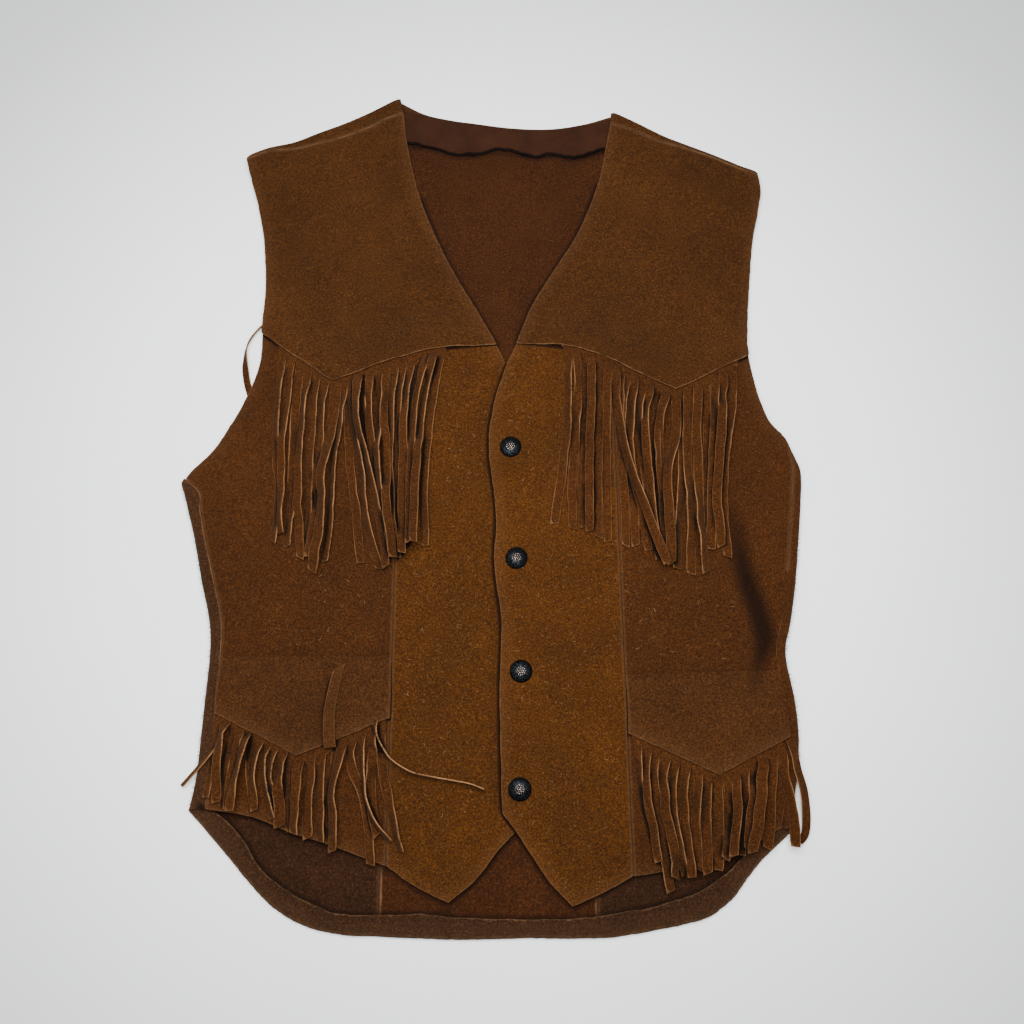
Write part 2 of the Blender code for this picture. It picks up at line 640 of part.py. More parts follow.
def back_side(name, side, inwards, armhole, corner, tip, hem):
    """A side of the back: it lies on the floor and rolls round to the side seam."""
    low = back_armhole(side, inwards, armhole, tip)
    corner = (corner[0], corner[1] - SEAM_GAP)
    low = np.vstack([low[low[:, 1] < corner[1]], corner])
    outer = join(side_line(side, inwards, SIDE_ROLL), split(low, ARMHOLE_CELLS))
    seam_x = -inwards * (BACK_SEAM + SEAM_GAP / 2)
    seam_top = (seam_x, yoke_seam(seam_x)[1] - SEAM_GAP)
    inner = split([(seam_x, hem[-1][1]), seam_top], len(outer) - 1)
    bottom = split(curve([outer[0]] + list(hem[1:-1]) + [tuple(inner[0])]), BACK_CELLS)[::-1]
    top = split([inner[-1], outer[-1]], BACK_CELLS)
    places = placed(patch(bottom, top, inner, outer), on_floor)
    for row, line in enumerate(places):
        y, fold, seam = side[min(row, SIDE_CELLS)]
        line += roll((fold, y), (inwards, 0), SIDE_ROLL, seam)
    no_roll = [
        (column, row)
        for column in range(BACK_CELLS, BACK_CELLS + ROLL_CELLS + 1)
        for row in range(SIDE_CELLS, len(places))
    ]
    mesh = sheet_mesh(name, places, no_roll, faces_down=True)
    return cloth(name, mesh, SUEDE_DARK_LOOK)


def back_centre(name):
    """The middle of the back, between its two vertical seams."""
    half = BACK_SEAM - SEAM_GAP / 2
    hem_right, hem_left = (-half, BACK_HEM_MIDDLE[0][1]), (half, BACK_HEM_MIDDLE[-1][1])
    hem = split(curve([hem_right] + list(BACK_HEM_MIDDLE[1:-1]) + [hem_left]), 4)
    corners = [yoke_seam(x) for x in (-half, BACK_YOKE_POINT[0], half)]
    right, point, left = [(x, y - SEAM_GAP) for x, y in corners]
    top = join(split([right, point], 2), split([point, left], 2))
    flat = patch(hem, top, split([hem_right, right], 4), split([hem_left, left], 4))
    mesh = sheet_mesh(name, placed(flat, on_floor), faces_down=True)
    return cloth(name, mesh, SUEDE_DARK_LOOK)


def back_yoke(name):
    """The upper back, which rolls over both shoulders to the seams on top."""
    right_floor = shoulder_line(RIGHT_SHOULDER, RIGHT_ACROSS, SHOULDER_ROLL)
    left_floor = shoulder_line(LEFT_SHOULDER, LEFT_ACROSS, SHOULDER_ROLL)[::-1]
    neck = split(curve([right_floor[-1]] + list(BACK_NECK) + [left_floor[0]]), NECK_CELLS)
    top = join(right_floor, neck, left_floor)
    columns = len(top) - 1
    arms = []
    for side, inwards, armhole, corner, tip in (
        (RIGHT_SIDE, 1, RIGHT_ARMHOLE, RIGHT_BACK_CORNER, right_floor[0]),
        (LEFT_SIDE, -1, LEFT_ARMHOLE, LEFT_BACK_CORNER, left_floor[-1]),
    ):
        line = back_armhole(side, inwards, armhole, tip)
        line = np.vstack([corner, line[line[:, 1] > corner[1]]])
        arms.append(split(line, BACK_CELLS - 1))
    bottom = join(
        split([RIGHT_BACK_CORNER, BACK_YOKE_POINT], columns // 2),
        split([BACK_YOKE_POINT, LEFT_BACK_CORNER], columns - columns // 2),
    )
    places = placed(patch(bottom, top, *arms), on_floor)
    rolls = [
        roll((x, y), RIGHT_ACROSS, SHOULDER_ROLL, seam)
        for x, y, seam in split(curve(RIGHT_SHOULDER), SHOULDER_CELLS)
    ]
    rolls += [rolls[0]] * (NECK_CELLS - 1)
    rolls += [
        roll((x, y), LEFT_ACROSS, SHOULDER_ROLL, seam)
        for x, y, seam in split(curve(LEFT_SHOULDER), SHOULDER_CELLS)[::-1]
    ]
    places += [list(line) for line in zip(*rolls)]
    no_roll = [
        (column, row)
        for column in range(SHOULDER_CELLS, SHOULDER_CELLS + NECK_CELLS)
        for row in range(BACK_CELLS - 1, len(places) - 1)
    ]
    mesh = sheet_mesh(name, places, no_roll, faces_down=True)
    return cloth(name, mesh, SUEDE_DARK_LOOK)


def on_back(name, outer, inner, cells, finish):
    """A strip that lies on the inside of the back, between two edges."""
    top = SUEDE + LAYER_GAP + SUEDE
    places = [[(x, y, top) for x, y in split(curve(line), cells)] for line in (outer, inner)]
    return cloth(name, sheet_mesh(name, places), finish)


def back_hem(name):
    """The hem turned up on the inside of the back."""
    outline = list(BACK_HEM_RIGHT[1:-1]) + list(BACK_HEM_MIDDLE) + list(BACK_HEM_LEFT[::-1][1:-1])
    outer = [HEM_ENDS[0]]
    for x, y in outline:
        away = np.array([x - HEM_CENTRE[0], y - HEM_CENTRE[1]])
        away *= 1 - HEM_INSET / np.linalg.norm(away)
        outer.append((HEM_CENTRE[0] + away[0], HEM_CENTRE[1] + away[1]))
    outer.append(HEM_ENDS[1])
    return on_back(name, outer, HEM_TURN, HEM_CELLS, SUEDE_DARK_LOOK)


def ribbon(bm, edge, sections):
    """Runs a strand on from an edge of its strip, through its sections."""
    left, right = sorted(edge.verts, key=lambda v: v.co.x)
    middle = (left.co + right.co) / 2
    side = (1.0, 0.0)
    for k, (x, y, z, width) in enumerate(sections):
        ahead = sections[min(k + 1, len(sections) - 1)]
        step = (ahead[0] - middle.x, ahead[1] - middle.y)
        length = math.hypot(*step)
        if length > SHORT_STEP:
            facing = 1 if step[0] * side[1] > step[1] * side[0] else -1
            side = (-facing * step[1] / length, facing * step[0] / length)
        made = bmesh.ops.extrude_edge_only(bm, edges=[edge])["geom"]
        ends = [v for v in made if isinstance(v, bmesh.types.BMVert)]
        new_left = min(ends, key=lambda v: (v.co - left.co).length)
        new_right = next(v for v in ends if v is not new_left)
        new_left.co = (x - side[0] * width / 2, y - side[1] * width / 2, z)
        new_right.co = (x + side[0] * width / 2, y + side[1] * width / 2, z)
        edge = next(e for e in new_left.link_edges if new_right in e.verts)
        left, right = new_left, new_right
        middle = (left.co + right.co) / 2


def bed(height, x, y):
    """The highest place of a panel close to x and y, on which a strand lies."""
    return max(height(x + dx, y + dy) for dx in (-BED, 0, BED) for dy in (-BED, 0, BED))


def strand_sections(index, root, edge, table, height):
    """Sections of a strand that hangs straight from the seam to its tip."""
    rows = np.array(table)
    tip_x = np.interp(root, rows[:, 0], rows[:, 1])
    tip_y = np.interp(root, rows[:, 0], rows[:, 2]) + TIP_SPREAD * math.sin(index * TIP_TURN)
    start_y = edge_y(edge, root) - ROOT_DROP
    base = LAYER_GAP + FRINGE_SUEDE
    sections = [(root, start_y, height(root, start_y) + base, STRAND_WIDTH)]
    for k in range(1, STRAND_CELLS + 1):
        share = k / STRAND_CELLS
        sway = STRAND_SWAY * math.sin(index * SWAY_TURN + SWAY_WAVE * share) * share
        x = root + (tip_x - root) * share ** 1.2 + sway
        y = start_y + (tip_y - start_y) * share
        z = bed(height, x, y) + base + LEVEL * (index % 2)
        sections.append((x, y, z, STRAND_WIDTH * (1 - STRAND_TAPER * share)))
    return sections


def plain_strands(roots, edge, table, height):
    """Strands that hang straight from evenly spaced roots: x, width, sections."""
    first, last, count = roots
    return [
        (x, STRAND_WIDTH, strand_sections(k, x, edge, table, height))
        for k, x in enumerate(np.linspace(first, last, count))
    ]


def flipped_strand(edge, height, flap_height):
    """The strand that comes from under the flap and turns back over it."""
    rim = edge_y(edge, FLIPPED_ROOT)
    sections = []
    for out, up in FLIPPED_TURN:
        z = height(FLIPPED_ROOT, rim) + up
        sections.append((FLIPPED_ROOT, rim - out, z, FLIPPED_WIDTH))
    for share in FLIPPED_SECTIONS:
        x, y = FLIPPED_ROOT + FLIPPED_LEAN * share, rim + FLIPPED_LENGTH * share
        width = FLIPPED_WIDTH * (1 - FLIPPED_TAPER * share)
        sections.append((x, y, flap_height(x, y) + LAYER_GAP, width))
    return (FLIPPED_ROOT, FLIPPED_WIDTH * 0.8, sections)


def strip_marks(ends, strands):
    """x of the cell edges along a strip, and which cells carry a strand."""
    marks, carrying = [ends[0]], {}
    for x, width, sections in strands:
        start = x - width / 2
        while start - marks[-1] > 1.5 * STRIP_CELL:
            marks.append(marks[-1] + STRIP_CELL)
        if start - marks[-1] > SEAM_GAP:
            marks.append(start)
        carrying[len(marks) - 1] = sections
        marks.append(x + width / 2)
    while ends[1] - marks[-1] > 1.5 * STRIP_CELL:
        marks.append(marks[-1] + STRIP_CELL)
    if ends[1] - marks[-1] > SEAM_GAP:
        marks.append(ends[1])
    return marks, carrying


def fringe(name, edge, ends, lap, height, strands):
    """A strip under a lapped edge, with its strands hanging out below the edge."""
    marks, carrying = strip_marks(ends, strands)
    places = []
    for share in STRIP_EDGES:
        row = []
        for x in marks:
            y = edge_y(edge, x) + lap * share
            row.append((x, y, height(x, y) + LAYER_GAP + FRINGE_SUEDE))
        places.append(row)
    return strip_and_strands(name, places, carrying)


def strip_and_strands(name, places, carrying):
    """The strip through the places, with ribbons run on from the cells that carry one."""
    mesh = sheet_mesh(name, places)
    bm = bmesh.new()
    bm.from_mesh(mesh)
    bm.verts.ensure_lookup_table()
    low = [min(bm.verts, key=lambda v: (v.co - Vector(place)).length) for place in places[0]]
    for k, sections in carrying.items():
        root = next(e for e in low[k].link_edges if low[k + 1] in e.verts)
        ribbon(bm, root, sections)
    bmesh.ops.recalc_face_normals(bm, faces=bm.faces[:])
    face_up_or_down(bm, low[0].link_faces[0], False)
    bm.to_mesh(mesh)
    bm.free()
    return cloth(name, mesh, SUEDE_LOOK, FRINGE_SUEDE)


def back_fringe(name):
    """The strand of the back's fringe that shows at the right armhole, on its strip."""
    top = BACK_STRAND[0][2]
    places = [[(x, y, top) for x in BACK_STRIP[0]] for y in BACK_STRIP[1]]
    return strip_and_strands(name, places, {0: BACK_STRAND})


def snap_cap(name, x, y):
    """A domed cap on the overlap."""
    profile = [(0.0, SNAP_DOME)]
    for share in CAP_RINGS:
        profile.append((SNAP_RADIUS * share, SNAP_DOME * math.sqrt(1 - CAP_FALL * share ** 2)))
    profile += [(SNAP_RADIUS, SNAP_DOME * CAP_SKIRT), (SNAP_RADIUS * 0.97, 0.0), (0.0, 0.0)]
    bm = bmesh.new()
    verts = [bm.verts.new((radius, 0, z)) for radius, z in profile]
    for upper, lower in zip(verts, verts[1:]):
        bm.edges.new((upper, lower))
    mesh = bpy.data.meshes.new(name)
    bm.to_mesh(mesh)
    bm.free()
    cap = piece(name, mesh, METAL_LOOK)
    turn = cap.modifiers.new("turn", "SCREW")
    turn.steps = CAP_STEPS
    turn.render_steps = CAP_STEPS
    turn.use_merge_vertices = True
    turn.merge_threshold = 0.00001
    turn.use_smooth_shade = True
    cap.location = (x, y, left_height(x, y) + SEAM_GAP)
    return cap


def snap_socket(name, x, y):
    """The fastened socket and stud, between the two fronts."""
    bm = bmesh.new()
    bmesh.ops.create_cone(
        bm, cap_ends=True, segments=SOCKET_SIDES,
        radius1=SOCKET_RADIUS, radius2=SOCKET_RADIUS, depth=SOCKET_HEIGHT,
    )
    mesh = bpy.data.meshes.new(name)
    bm.to_mesh(mesh)
    bm.free()
    socket = piece(name, mesh, METAL_LOOK)
    low = right_height(x, y)
    high = left_height(x, y) - SUEDE
    socket.location = (x, y, (low + high) / 2)
    return socket


def pocket_fringe_right():
    """The right pocket's fringe, with its flared, flipped and long strands."""
    edge, height = RIGHT_FLAP_EDGE, right_height
    flap_height = lapped_height(height, edge, FLAP_LAP, FLAP_RAISE)
    strands = [(FLARED_STRAND[0][0], FLARED_STRAND[0][3], FLARED_STRAND)]
    strands += plain_strands(RIGHT_POCKET_ROOTS[0], edge, RIGHT_POCKET_STRANDS, height)
    strands.append(flipped_strand(edge, height, flap_height))
    strands += plain_strands(RIGHT_POCKET_ROOTS[1], edge, RIGHT_POCKET_STRANDS, height)
    strands.append((LONG_STRAND[0][0], LONG_STRAND[0][3], LONG_STRAND))
    last = (RIGHT_POCKET_LAST_ROOT, RIGHT_POCKET_LAST_ROOT, 1)
    strands += plain_strands(last, edge, RIGHT_POCKET_STRANDS, height)
    return fringe("pocket_fringe_right", edge, RIGHT_POCKET_STRIP, FLAP_LAP, height, strands)


def pocket_fringe_left():
    """The left pocket's fringe, with the strand that spreads past the side."""
    edge, height = LEFT_FLAP_EDGE, left_height
    strands = plain_strands(LEFT_POCKET_ROOTS, edge, LEFT_POCKET_STRANDS, height)
    strands.append((SPREAD_STRAND[0][0], SPREAD_STRAND[0][3], SPREAD_STRAND))
    return fringe("pocket_fringe_left", edge, LEFT_POCKET_STRIP, FLAP_LAP, height, strands)


def yoke_fringes():
    """The fringes that hang from the lower edges of the two front yokes."""
    strands = plain_strands(RIGHT_YOKE_ROOTS, RIGHT_YOKE_EDGE, RIGHT_YOKE_STRANDS, right_height)
    fringe("yoke_fringe_right", RIGHT_YOKE_EDGE, RIGHT_YOKE_STRIP, YOKE_LAP, right_height, strands)
    strands = plain_strands(LEFT_YOKE_ROOTS, LEFT_YOKE_EDGE, LEFT_YOKE_STRANDS, left_height)
    fringe("yoke_fringe_left", LEFT_YOKE_EDGE, LEFT_YOKE_STRIP, YOKE_LAP, left_height, strands)


def right_front():
    """The panels and flap of the right front, which is the underlap."""
    front_side("front_side_right", RIGHT_SIDE, 1, RIGHT_ARMHOLE, RIGHT_SIDE_HEM,
               RIGHT_FRONT_SEAM, RIGHT_YOKE_EDGE, RIGHT_COLUMNS, right_height)
    front_centre("front_centre_right", -1, RIGHT_FRONT_SEAM, RIGHT_CENTRE_HEM,
                 RIGHT_CENTRE_CUT, UNDERLAP_EDGE, RIGHT_YOKE_EDGE, right_height)
    front_yoke("front_yoke_right", RIGHT_SHOULDER, RIGHT_ACROSS, RIGHT_ARMHOLE,
               RIGHT_YOKE_EDGE, RIGHT_NECK, right_height)
    pocket_flap("pocket_flap_right", RIGHT_SIDE, 1, RIGHT_FLAP_TOP, RIGHT_FLAP_EDGE,
                RIGHT_FRONT_SEAM, right_height)


def left_front():
    """The panels and flap of the left front, which laps over the right one."""
    front_side("front_side_left", LEFT_SIDE, -1, LEFT_ARMHOLE, LEFT_SIDE_HEM,
               LEFT_FRONT_SEAM, LEFT_YOKE_EDGE, LEFT_COLUMNS, left_height)
    front_centre("front_centre_left", 1, LEFT_FRONT_SEAM, LEFT_CENTRE_HEM,
                 LEFT_CENTRE_CUT, OVERLAP_FRONT, LEFT_YOKE_EDGE, left_height)
    front_yoke("front_yoke_left", LEFT_SHOULDER, LEFT_ACROSS, LEFT_ARMHOLE,
               LEFT_YOKE_EDGE, LEFT_NECK, left_height)
    pocket_flap("pocket_flap_left", LEFT_SIDE, -1, LEFT_FLAP_TOP, LEFT_FLAP_EDGE,
                LEFT_FRONT_SEAM, left_height)


def back():
    """The back's four panels, its turned-up hem and its neck facing."""
    right_tip = shoulder_line(RIGHT_SHOULDER, RIGHT_ACROSS, SHOULDER_ROLL)[0]
    left_tip = shoulder_line(LEFT_SHOULDER, LEFT_ACROSS, SHOULDER_ROLL)[0]
    back_yoke("back_yoke")
    back_centre("back_centre")
    back_side("back_side_right", RIGHT_SIDE, 1, RIGHT_ARMHOLE, RIGHT_BACK_CORNER,
              right_tip, BACK_HEM_RIGHT)
    back_side("back_side_left", LEFT_SIDE, -1, LEFT_ARMHOLE, LEFT_BACK_CORNER,
              left_tip, BACK_HEM_LEFT)
    back_hem("back_hem")
    on_back("back_neck_facing", FACING_EDGE, FACING_TOP, FACING_CELLS, FACING_LOOK)
    back_fringe("back_fringe")


def build():
    """Clears the scene and makes the vest."""
    for thing in list(bpy.data.objects):
        bpy.data.objects.remove(thing, do_unlink=True)
    vest = bpy.data.collections.new(COLLECTION)
    bpy.context.scene.collection.children.link(vest)
    back()
    right_front()
    left_front()
    yoke_fringes()
    pocket_fringe_right()
    pocket_fringe_left()
    for number, (x, y) in enumerate(SNAPS, 1):
        snap_cap("snap_cap_%d" % number, x, y)
        snap_socket("snap_socket_%d" % number, x, y)


build()
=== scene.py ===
"""The looks of a suede western vest that lies flat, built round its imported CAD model."""

import math

import bmesh
import bpy
import numpy as np
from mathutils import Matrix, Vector, noise


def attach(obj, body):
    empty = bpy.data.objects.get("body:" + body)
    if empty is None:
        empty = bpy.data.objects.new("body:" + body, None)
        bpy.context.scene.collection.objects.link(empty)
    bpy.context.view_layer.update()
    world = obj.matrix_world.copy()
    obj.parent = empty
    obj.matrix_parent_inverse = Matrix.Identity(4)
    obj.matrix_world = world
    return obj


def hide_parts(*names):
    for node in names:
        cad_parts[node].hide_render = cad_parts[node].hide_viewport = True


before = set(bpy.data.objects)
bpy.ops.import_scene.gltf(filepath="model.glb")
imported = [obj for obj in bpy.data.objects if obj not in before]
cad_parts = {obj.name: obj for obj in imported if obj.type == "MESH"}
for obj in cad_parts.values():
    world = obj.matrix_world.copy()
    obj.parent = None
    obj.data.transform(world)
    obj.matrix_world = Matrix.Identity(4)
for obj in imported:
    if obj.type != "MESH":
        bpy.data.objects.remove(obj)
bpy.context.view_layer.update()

MM = 0.001

# Cloth
SUEDE = 0.0014            # wall of every panel
FRINGE_SUEDE = 0.0012     # wall of the fringe strips and strands
SEAM_GAP = 0.00005        # between pieces that meet edge to edge
LAYER_GAP = 0.0004        # between pieces that lie on each other

# Rolled edges and resting heights of the outside of the front
SIDE_ROLL = 0.0040        # outer radius of the side folds
SHOULDER_ROLL = 0.0032    # outer radius of the shoulder folds
FRONT_REST = 0.0041       # height in the middle
SIDE_REACH = 0.110        # width over which it climbs to the side folds
SHOULDER_REACH = 0.070    # the same below the shoulders
ARMPIT_FADE = 0.060       # height over which the side climb ends above the armpit

# Laps
YOKE_LAP = 0.008          # how far the yoke lies over the panels below it
FLAP_LAP = 0.008          # how far a pocket flap lies over its fringe strip
LAP_MARGIN = 0.002        # how far the raise stays level past the strip
LAP_EASE = 0.028          # length over which a raised lap settles again
FRINGE_RAISE = SUEDE + FRINGE_SUEDE + 2 * LAYER_GAP
FLAP_RAISE = SUEDE + LAYER_GAP
OVERLAP_EDGE = 0.030      # x to which the raised overlap of the left front is level
OVERLAP_EASE = 0.036
OVERLAP_TOP = (0.085, 0.118)        # y where the raise is whole, and where it starts
OVERLAP_BOTTOM = (-0.240, -0.276)
BACK_ARMHOLE_INSET = 0.006

# Snaps
SNAP_RADIUS = 0.0075
SNAP_DOME = 0.0030
SOCKET_HEIGHT = 0.0014
OVERLAP_RAISE = SUEDE + SOCKET_HEIGHT + 3 * LAYER_GAP
OVERLAP_SAG = 0.0008      # how far the overlap sinks between two snaps
SAG_LENGTH = 0.030

# Snap centres: x, y
SNAPS = ((0.014, 0.018), (0.018, -0.061), (0.021, -0.137), (0.020, -0.212))

# Side folds, from the hem to the armpit: y, x of the fold, fold to side seam
RIGHT_SIDE = (
    (-0.224, -0.192, 0.011),
    (-0.205, -0.189, 0.011),
    (-0.180, -0.188, 0.010),
    (-0.155, -0.187, 0.008),
    (-0.125, -0.186, 0.008),
    (-0.103, -0.188, 0.009),
    (-0.077, -0.195, 0.009),
    (-0.048, -0.202, 0.008),
    (-0.027, -0.2082, 0.0092),
    (-0.0150, -0.2118, 0.0116),
    (-0.005, -0.216, 0.005),
)
LEFT_SIDE = (
    (-0.236, 0.193, 0.007),
    (-0.205, 0.199, 0.007),
    (-0.180, 0.202, 0.007),
    (-0.155, 0.201, 0.007),
    (-0.125, 0.197, 0.007),
    (-0.103, 0.202, 0.007),
    (-0.077, 0.207, 0.007),
    (-0.048, 0.211, 0.007),
    (-0.025, 0.214, 0.007),
    (-0.001, 0.216, 0.0065),
    (0.009, 0.2135, 0.0042),
    (0.018, 0.2096, 0.0008),
)

# Shoulder folds, from the shoulder tip to the neck: x, y, fold to shoulder seam
RIGHT_SHOULDER = (
    (-0.186, 0.250, 0.0038),
    (-0.170, 0.257, 0.004),
    (-0.150, 0.262, 0.007),
    (-0.132, 0.270, 0.010),
    (-0.113, 0.278, 0.012),
    (-0.095, 0.287, 0.013),
    (-0.083, 0.294, 0.013),
    (-0.071, 0.301, 0.015),
)
LEFT_SHOULDER = (
    (0.200, 0.237, 0.0038),
    (0.189, 0.241, 0.0038),
    (0.176, 0.247, 0.0038),
    (0.163, 0.253, 0.0038),
    (0.142, 0.262, 0.005),
    (0.129, 0.268, 0.007),
    (0.108, 0.280, 0.009),
    (0.091, 0.289, 0.012),
)
# Direction in which each shoulder fold rolls, down into the garment
RIGHT_ACROSS = (0.2, -0.98)
LEFT_ACROSS = (-0.1, -0.995)

# Armholes of the front, from the armpit to the shoulder tip: x, y
RIGHT_ARMHOLE = (
    (-0.2045, 0.0035), (-0.197, 0.0112), (-0.1915, 0.0185), (-0.1853, 0.0305), (-0.175, 0.052),
    (-0.166, 0.080), (-0.165, 0.108), (-0.165, 0.141), (-0.168, 0.175),
    (-0.173, 0.202), (-0.180, 0.227),
)
LEFT_ARMHOLE = (
    (0.205, 0.0255), (0.195, 0.039), (0.188, 0.066),
    (0.184, 0.092), (0.184, 0.101), (0.187, 0.128), (0.190, 0.155),
    (0.193, 0.178), (0.198, 0.202), (0.201, 0.219),
)

# Lower edge of each front yoke: armhole, point, front edge
RIGHT_YOKE_EDGE = ((-0.165, 0.104), (-0.113, 0.068), (-0.048, 0.091), (0.004, 0.096))
LEFT_YOKE_EDGE = ((0.184, 0.087), (0.131, 0.061), (0.068, 0.091), (0.018, 0.096))

# Neck edge of each front, from the yoke's lower edge up to the shoulder seam
RIGHT_NECK = (
    (0.004, 0.096), (-0.011, 0.124), (-0.034, 0.166), (-0.054, 0.215),
    (-0.064, 0.258),
)
LEFT_NECK = (
    (0.018, 0.096), (0.030, 0.128), (0.050, 0.162), (0.065, 0.188),
    (0.080, 0.228), (0.087, 0.262),
)

# Front edges below the yoke, from the hem up: x, y
UNDERLAP_EDGE = (
    (0.027, -0.229), (0.029, -0.160), (0.029, -0.080), (0.028, 0.020),
    (0.019, 0.058), (0.009, 0.085), (0.004, 0.096),
)
OVERLAP_FRONT = (
    (0.009, -0.227), (0.008, -0.199), (0.007, -0.145), (0.008, -0.107),
    (0.003, -0.064), (0.004, -0.028), (-0.001, 0.014), (0.001, 0.045),
    (0.010, 0.077), (0.018, 0.096),
)

# Hems of the fronts: between the two seams, then to the point and on to the edge
RIGHT_SIDE_HEM = ((-0.093, -0.249), (-0.125, -0.239), (-0.151, -0.229))
RIGHT_CENTRE_HEM = ((-0.065, -0.259), (-0.045, -0.272), (-0.025, -0.281))
RIGHT_CENTRE_CUT = (
    (-0.025, -0.281), (-0.009, -0.268), (0.008, -0.248), (0.027, -0.229),
)
LEFT_SIDE_HEM = ((0.120, -0.261), (0.148, -0.256), (0.168, -0.246))
LEFT_CENTRE_HEM = ((0.092, -0.265), (0.072, -0.275), (0.053, -0.283))
LEFT_CENTRE_CUT = ((0.053, -0.283), (0.038, -0.268), (0.022, -0.244), (0.009, -0.227))

# Vertical seams of the front between side and centre panel: hem, yoke
RIGHT_FRONT_SEAM = ((-0.065, -0.259), (-0.0645, 0.085))
LEFT_FRONT_SEAM = ((0.092, -0.265), (0.086, 0.082))

# Back
BACK_SEAM = 0.069         # x of the back's two vertical seams
BACK_YOKE_POINT = (0.005, 0.045)
RIGHT_BACK_CORNER = (-0.159, 0.112)     # yoke seam at the armhole
LEFT_BACK_CORNER = (0.178, 0.100)
BACK_NECK = (
    (-0.052, 0.288), (-0.033, 0.283), (-0.014, 0.280), (0.014, 0.276),
    (0.043, 0.275), (0.069, 0.279),
)
BACK_HEM_RIGHT = (
    (-0.192, -0.224), (-0.180, -0.236), (-0.164, -0.253), (-0.148, -0.270),
    (-0.132, -0.284), (-0.112, -0.294), (-0.091, -0.298), (-0.069, -0.299),
)
BACK_HEM_MIDDLE = ((-0.069, -0.299), (-0.019, -0.301), (0.023, -0.300), (0.069, -0.300))
BACK_HEM_LEFT = (
    (0.193, -0.236), (0.188, -0.241), (0.171, -0.256), (0.154, -0.276),
    (0.137, -0.288), (0.117, -0.293), (0.087, -0.298), (0.069, -0.300),
)
# Turned-up hem on the inside of the back: x, y of its free edge
HEM_TURN = (
    (-0.184, -0.2225), (-0.1705, -0.2305), (-0.1570, -0.2440), (-0.1475, -0.2575),
    (-0.1375, -0.2675), (-0.1225, -0.2770), (-0.108, -0.2830), (-0.091, -0.2885),
    (-0.040, -0.2885), (-0.008, -0.291),
    (0.038, -0.291), (0.066, -0.290), (0.115, -0.281), (0.144, -0.269),
    (0.169, -0.247), (0.184, -0.2325),
)

# Facing inside the back neck: its ragged lower edge
FACING_EDGE = (
    (-0.070, 0.263), (-0.062, 0.261), (-0.042, 0.256), (-0.028, 0.251), (-0.011, 0.252),
    (0.000, 0.255), (0.018, 0.253), (0.034, 0.249), (0.043, 0.252),
    (0.062, 0.249), (0.084, 0.256), (0.092, 0.258),
)
FACING_TOP = (
    (-0.073, 0.290), (-0.066, 0.2885), (-0.052, 0.2855), (-0.033, 0.2805), (-0.014, 0.2775),
    (0.014, 0.2735), (0.043, 0.2725), (0.069, 0.2765), (0.086, 0.281), (0.094, 0.283),
)

# Pocket flaps: y of the top edge at the two seams, then side, point, inner end
RIGHT_FLAP_TOP = (-0.127, -0.127)
RIGHT_FLAP_EDGE = ((-0.178, -0.164), (-0.124, -0.191), (-0.065, -0.167))
LEFT_FLAP_TOP = (-0.136, -0.139)
LEFT_FLAP_EDGE = ((0.195, -0.179), (0.148, -0.203), (0.092, -0.177))

# The soft trough down the left side: y, x, depth
TROUGH = (
    (-0.010, 0.166, 0.0), (-0.033, 0.168, 0.0016), (-0.062, 0.171, 0.0024),
    (-0.083, 0.176, 0.0028), (-0.100, 0.181, 0.0029), (-0.115, 0.184, 0.0028),
    (-0.128, 0.181, 0.0022), (-0.138, 0.177, 0.0015), (-0.153, 0.174, 0.0008), (-0.170, 0.172, 0.0),
)
TROUGH_WIDTH = 0.009

# Fringe strips: x of their two ends
RIGHT_YOKE_STRIP = (-0.164, -0.028)
LEFT_YOKE_STRIP = (0.047, 0.183)
RIGHT_POCKET_STRIP = (-0.178, -0.065)
LEFT_POCKET_STRIP = (0.092, 0.195)

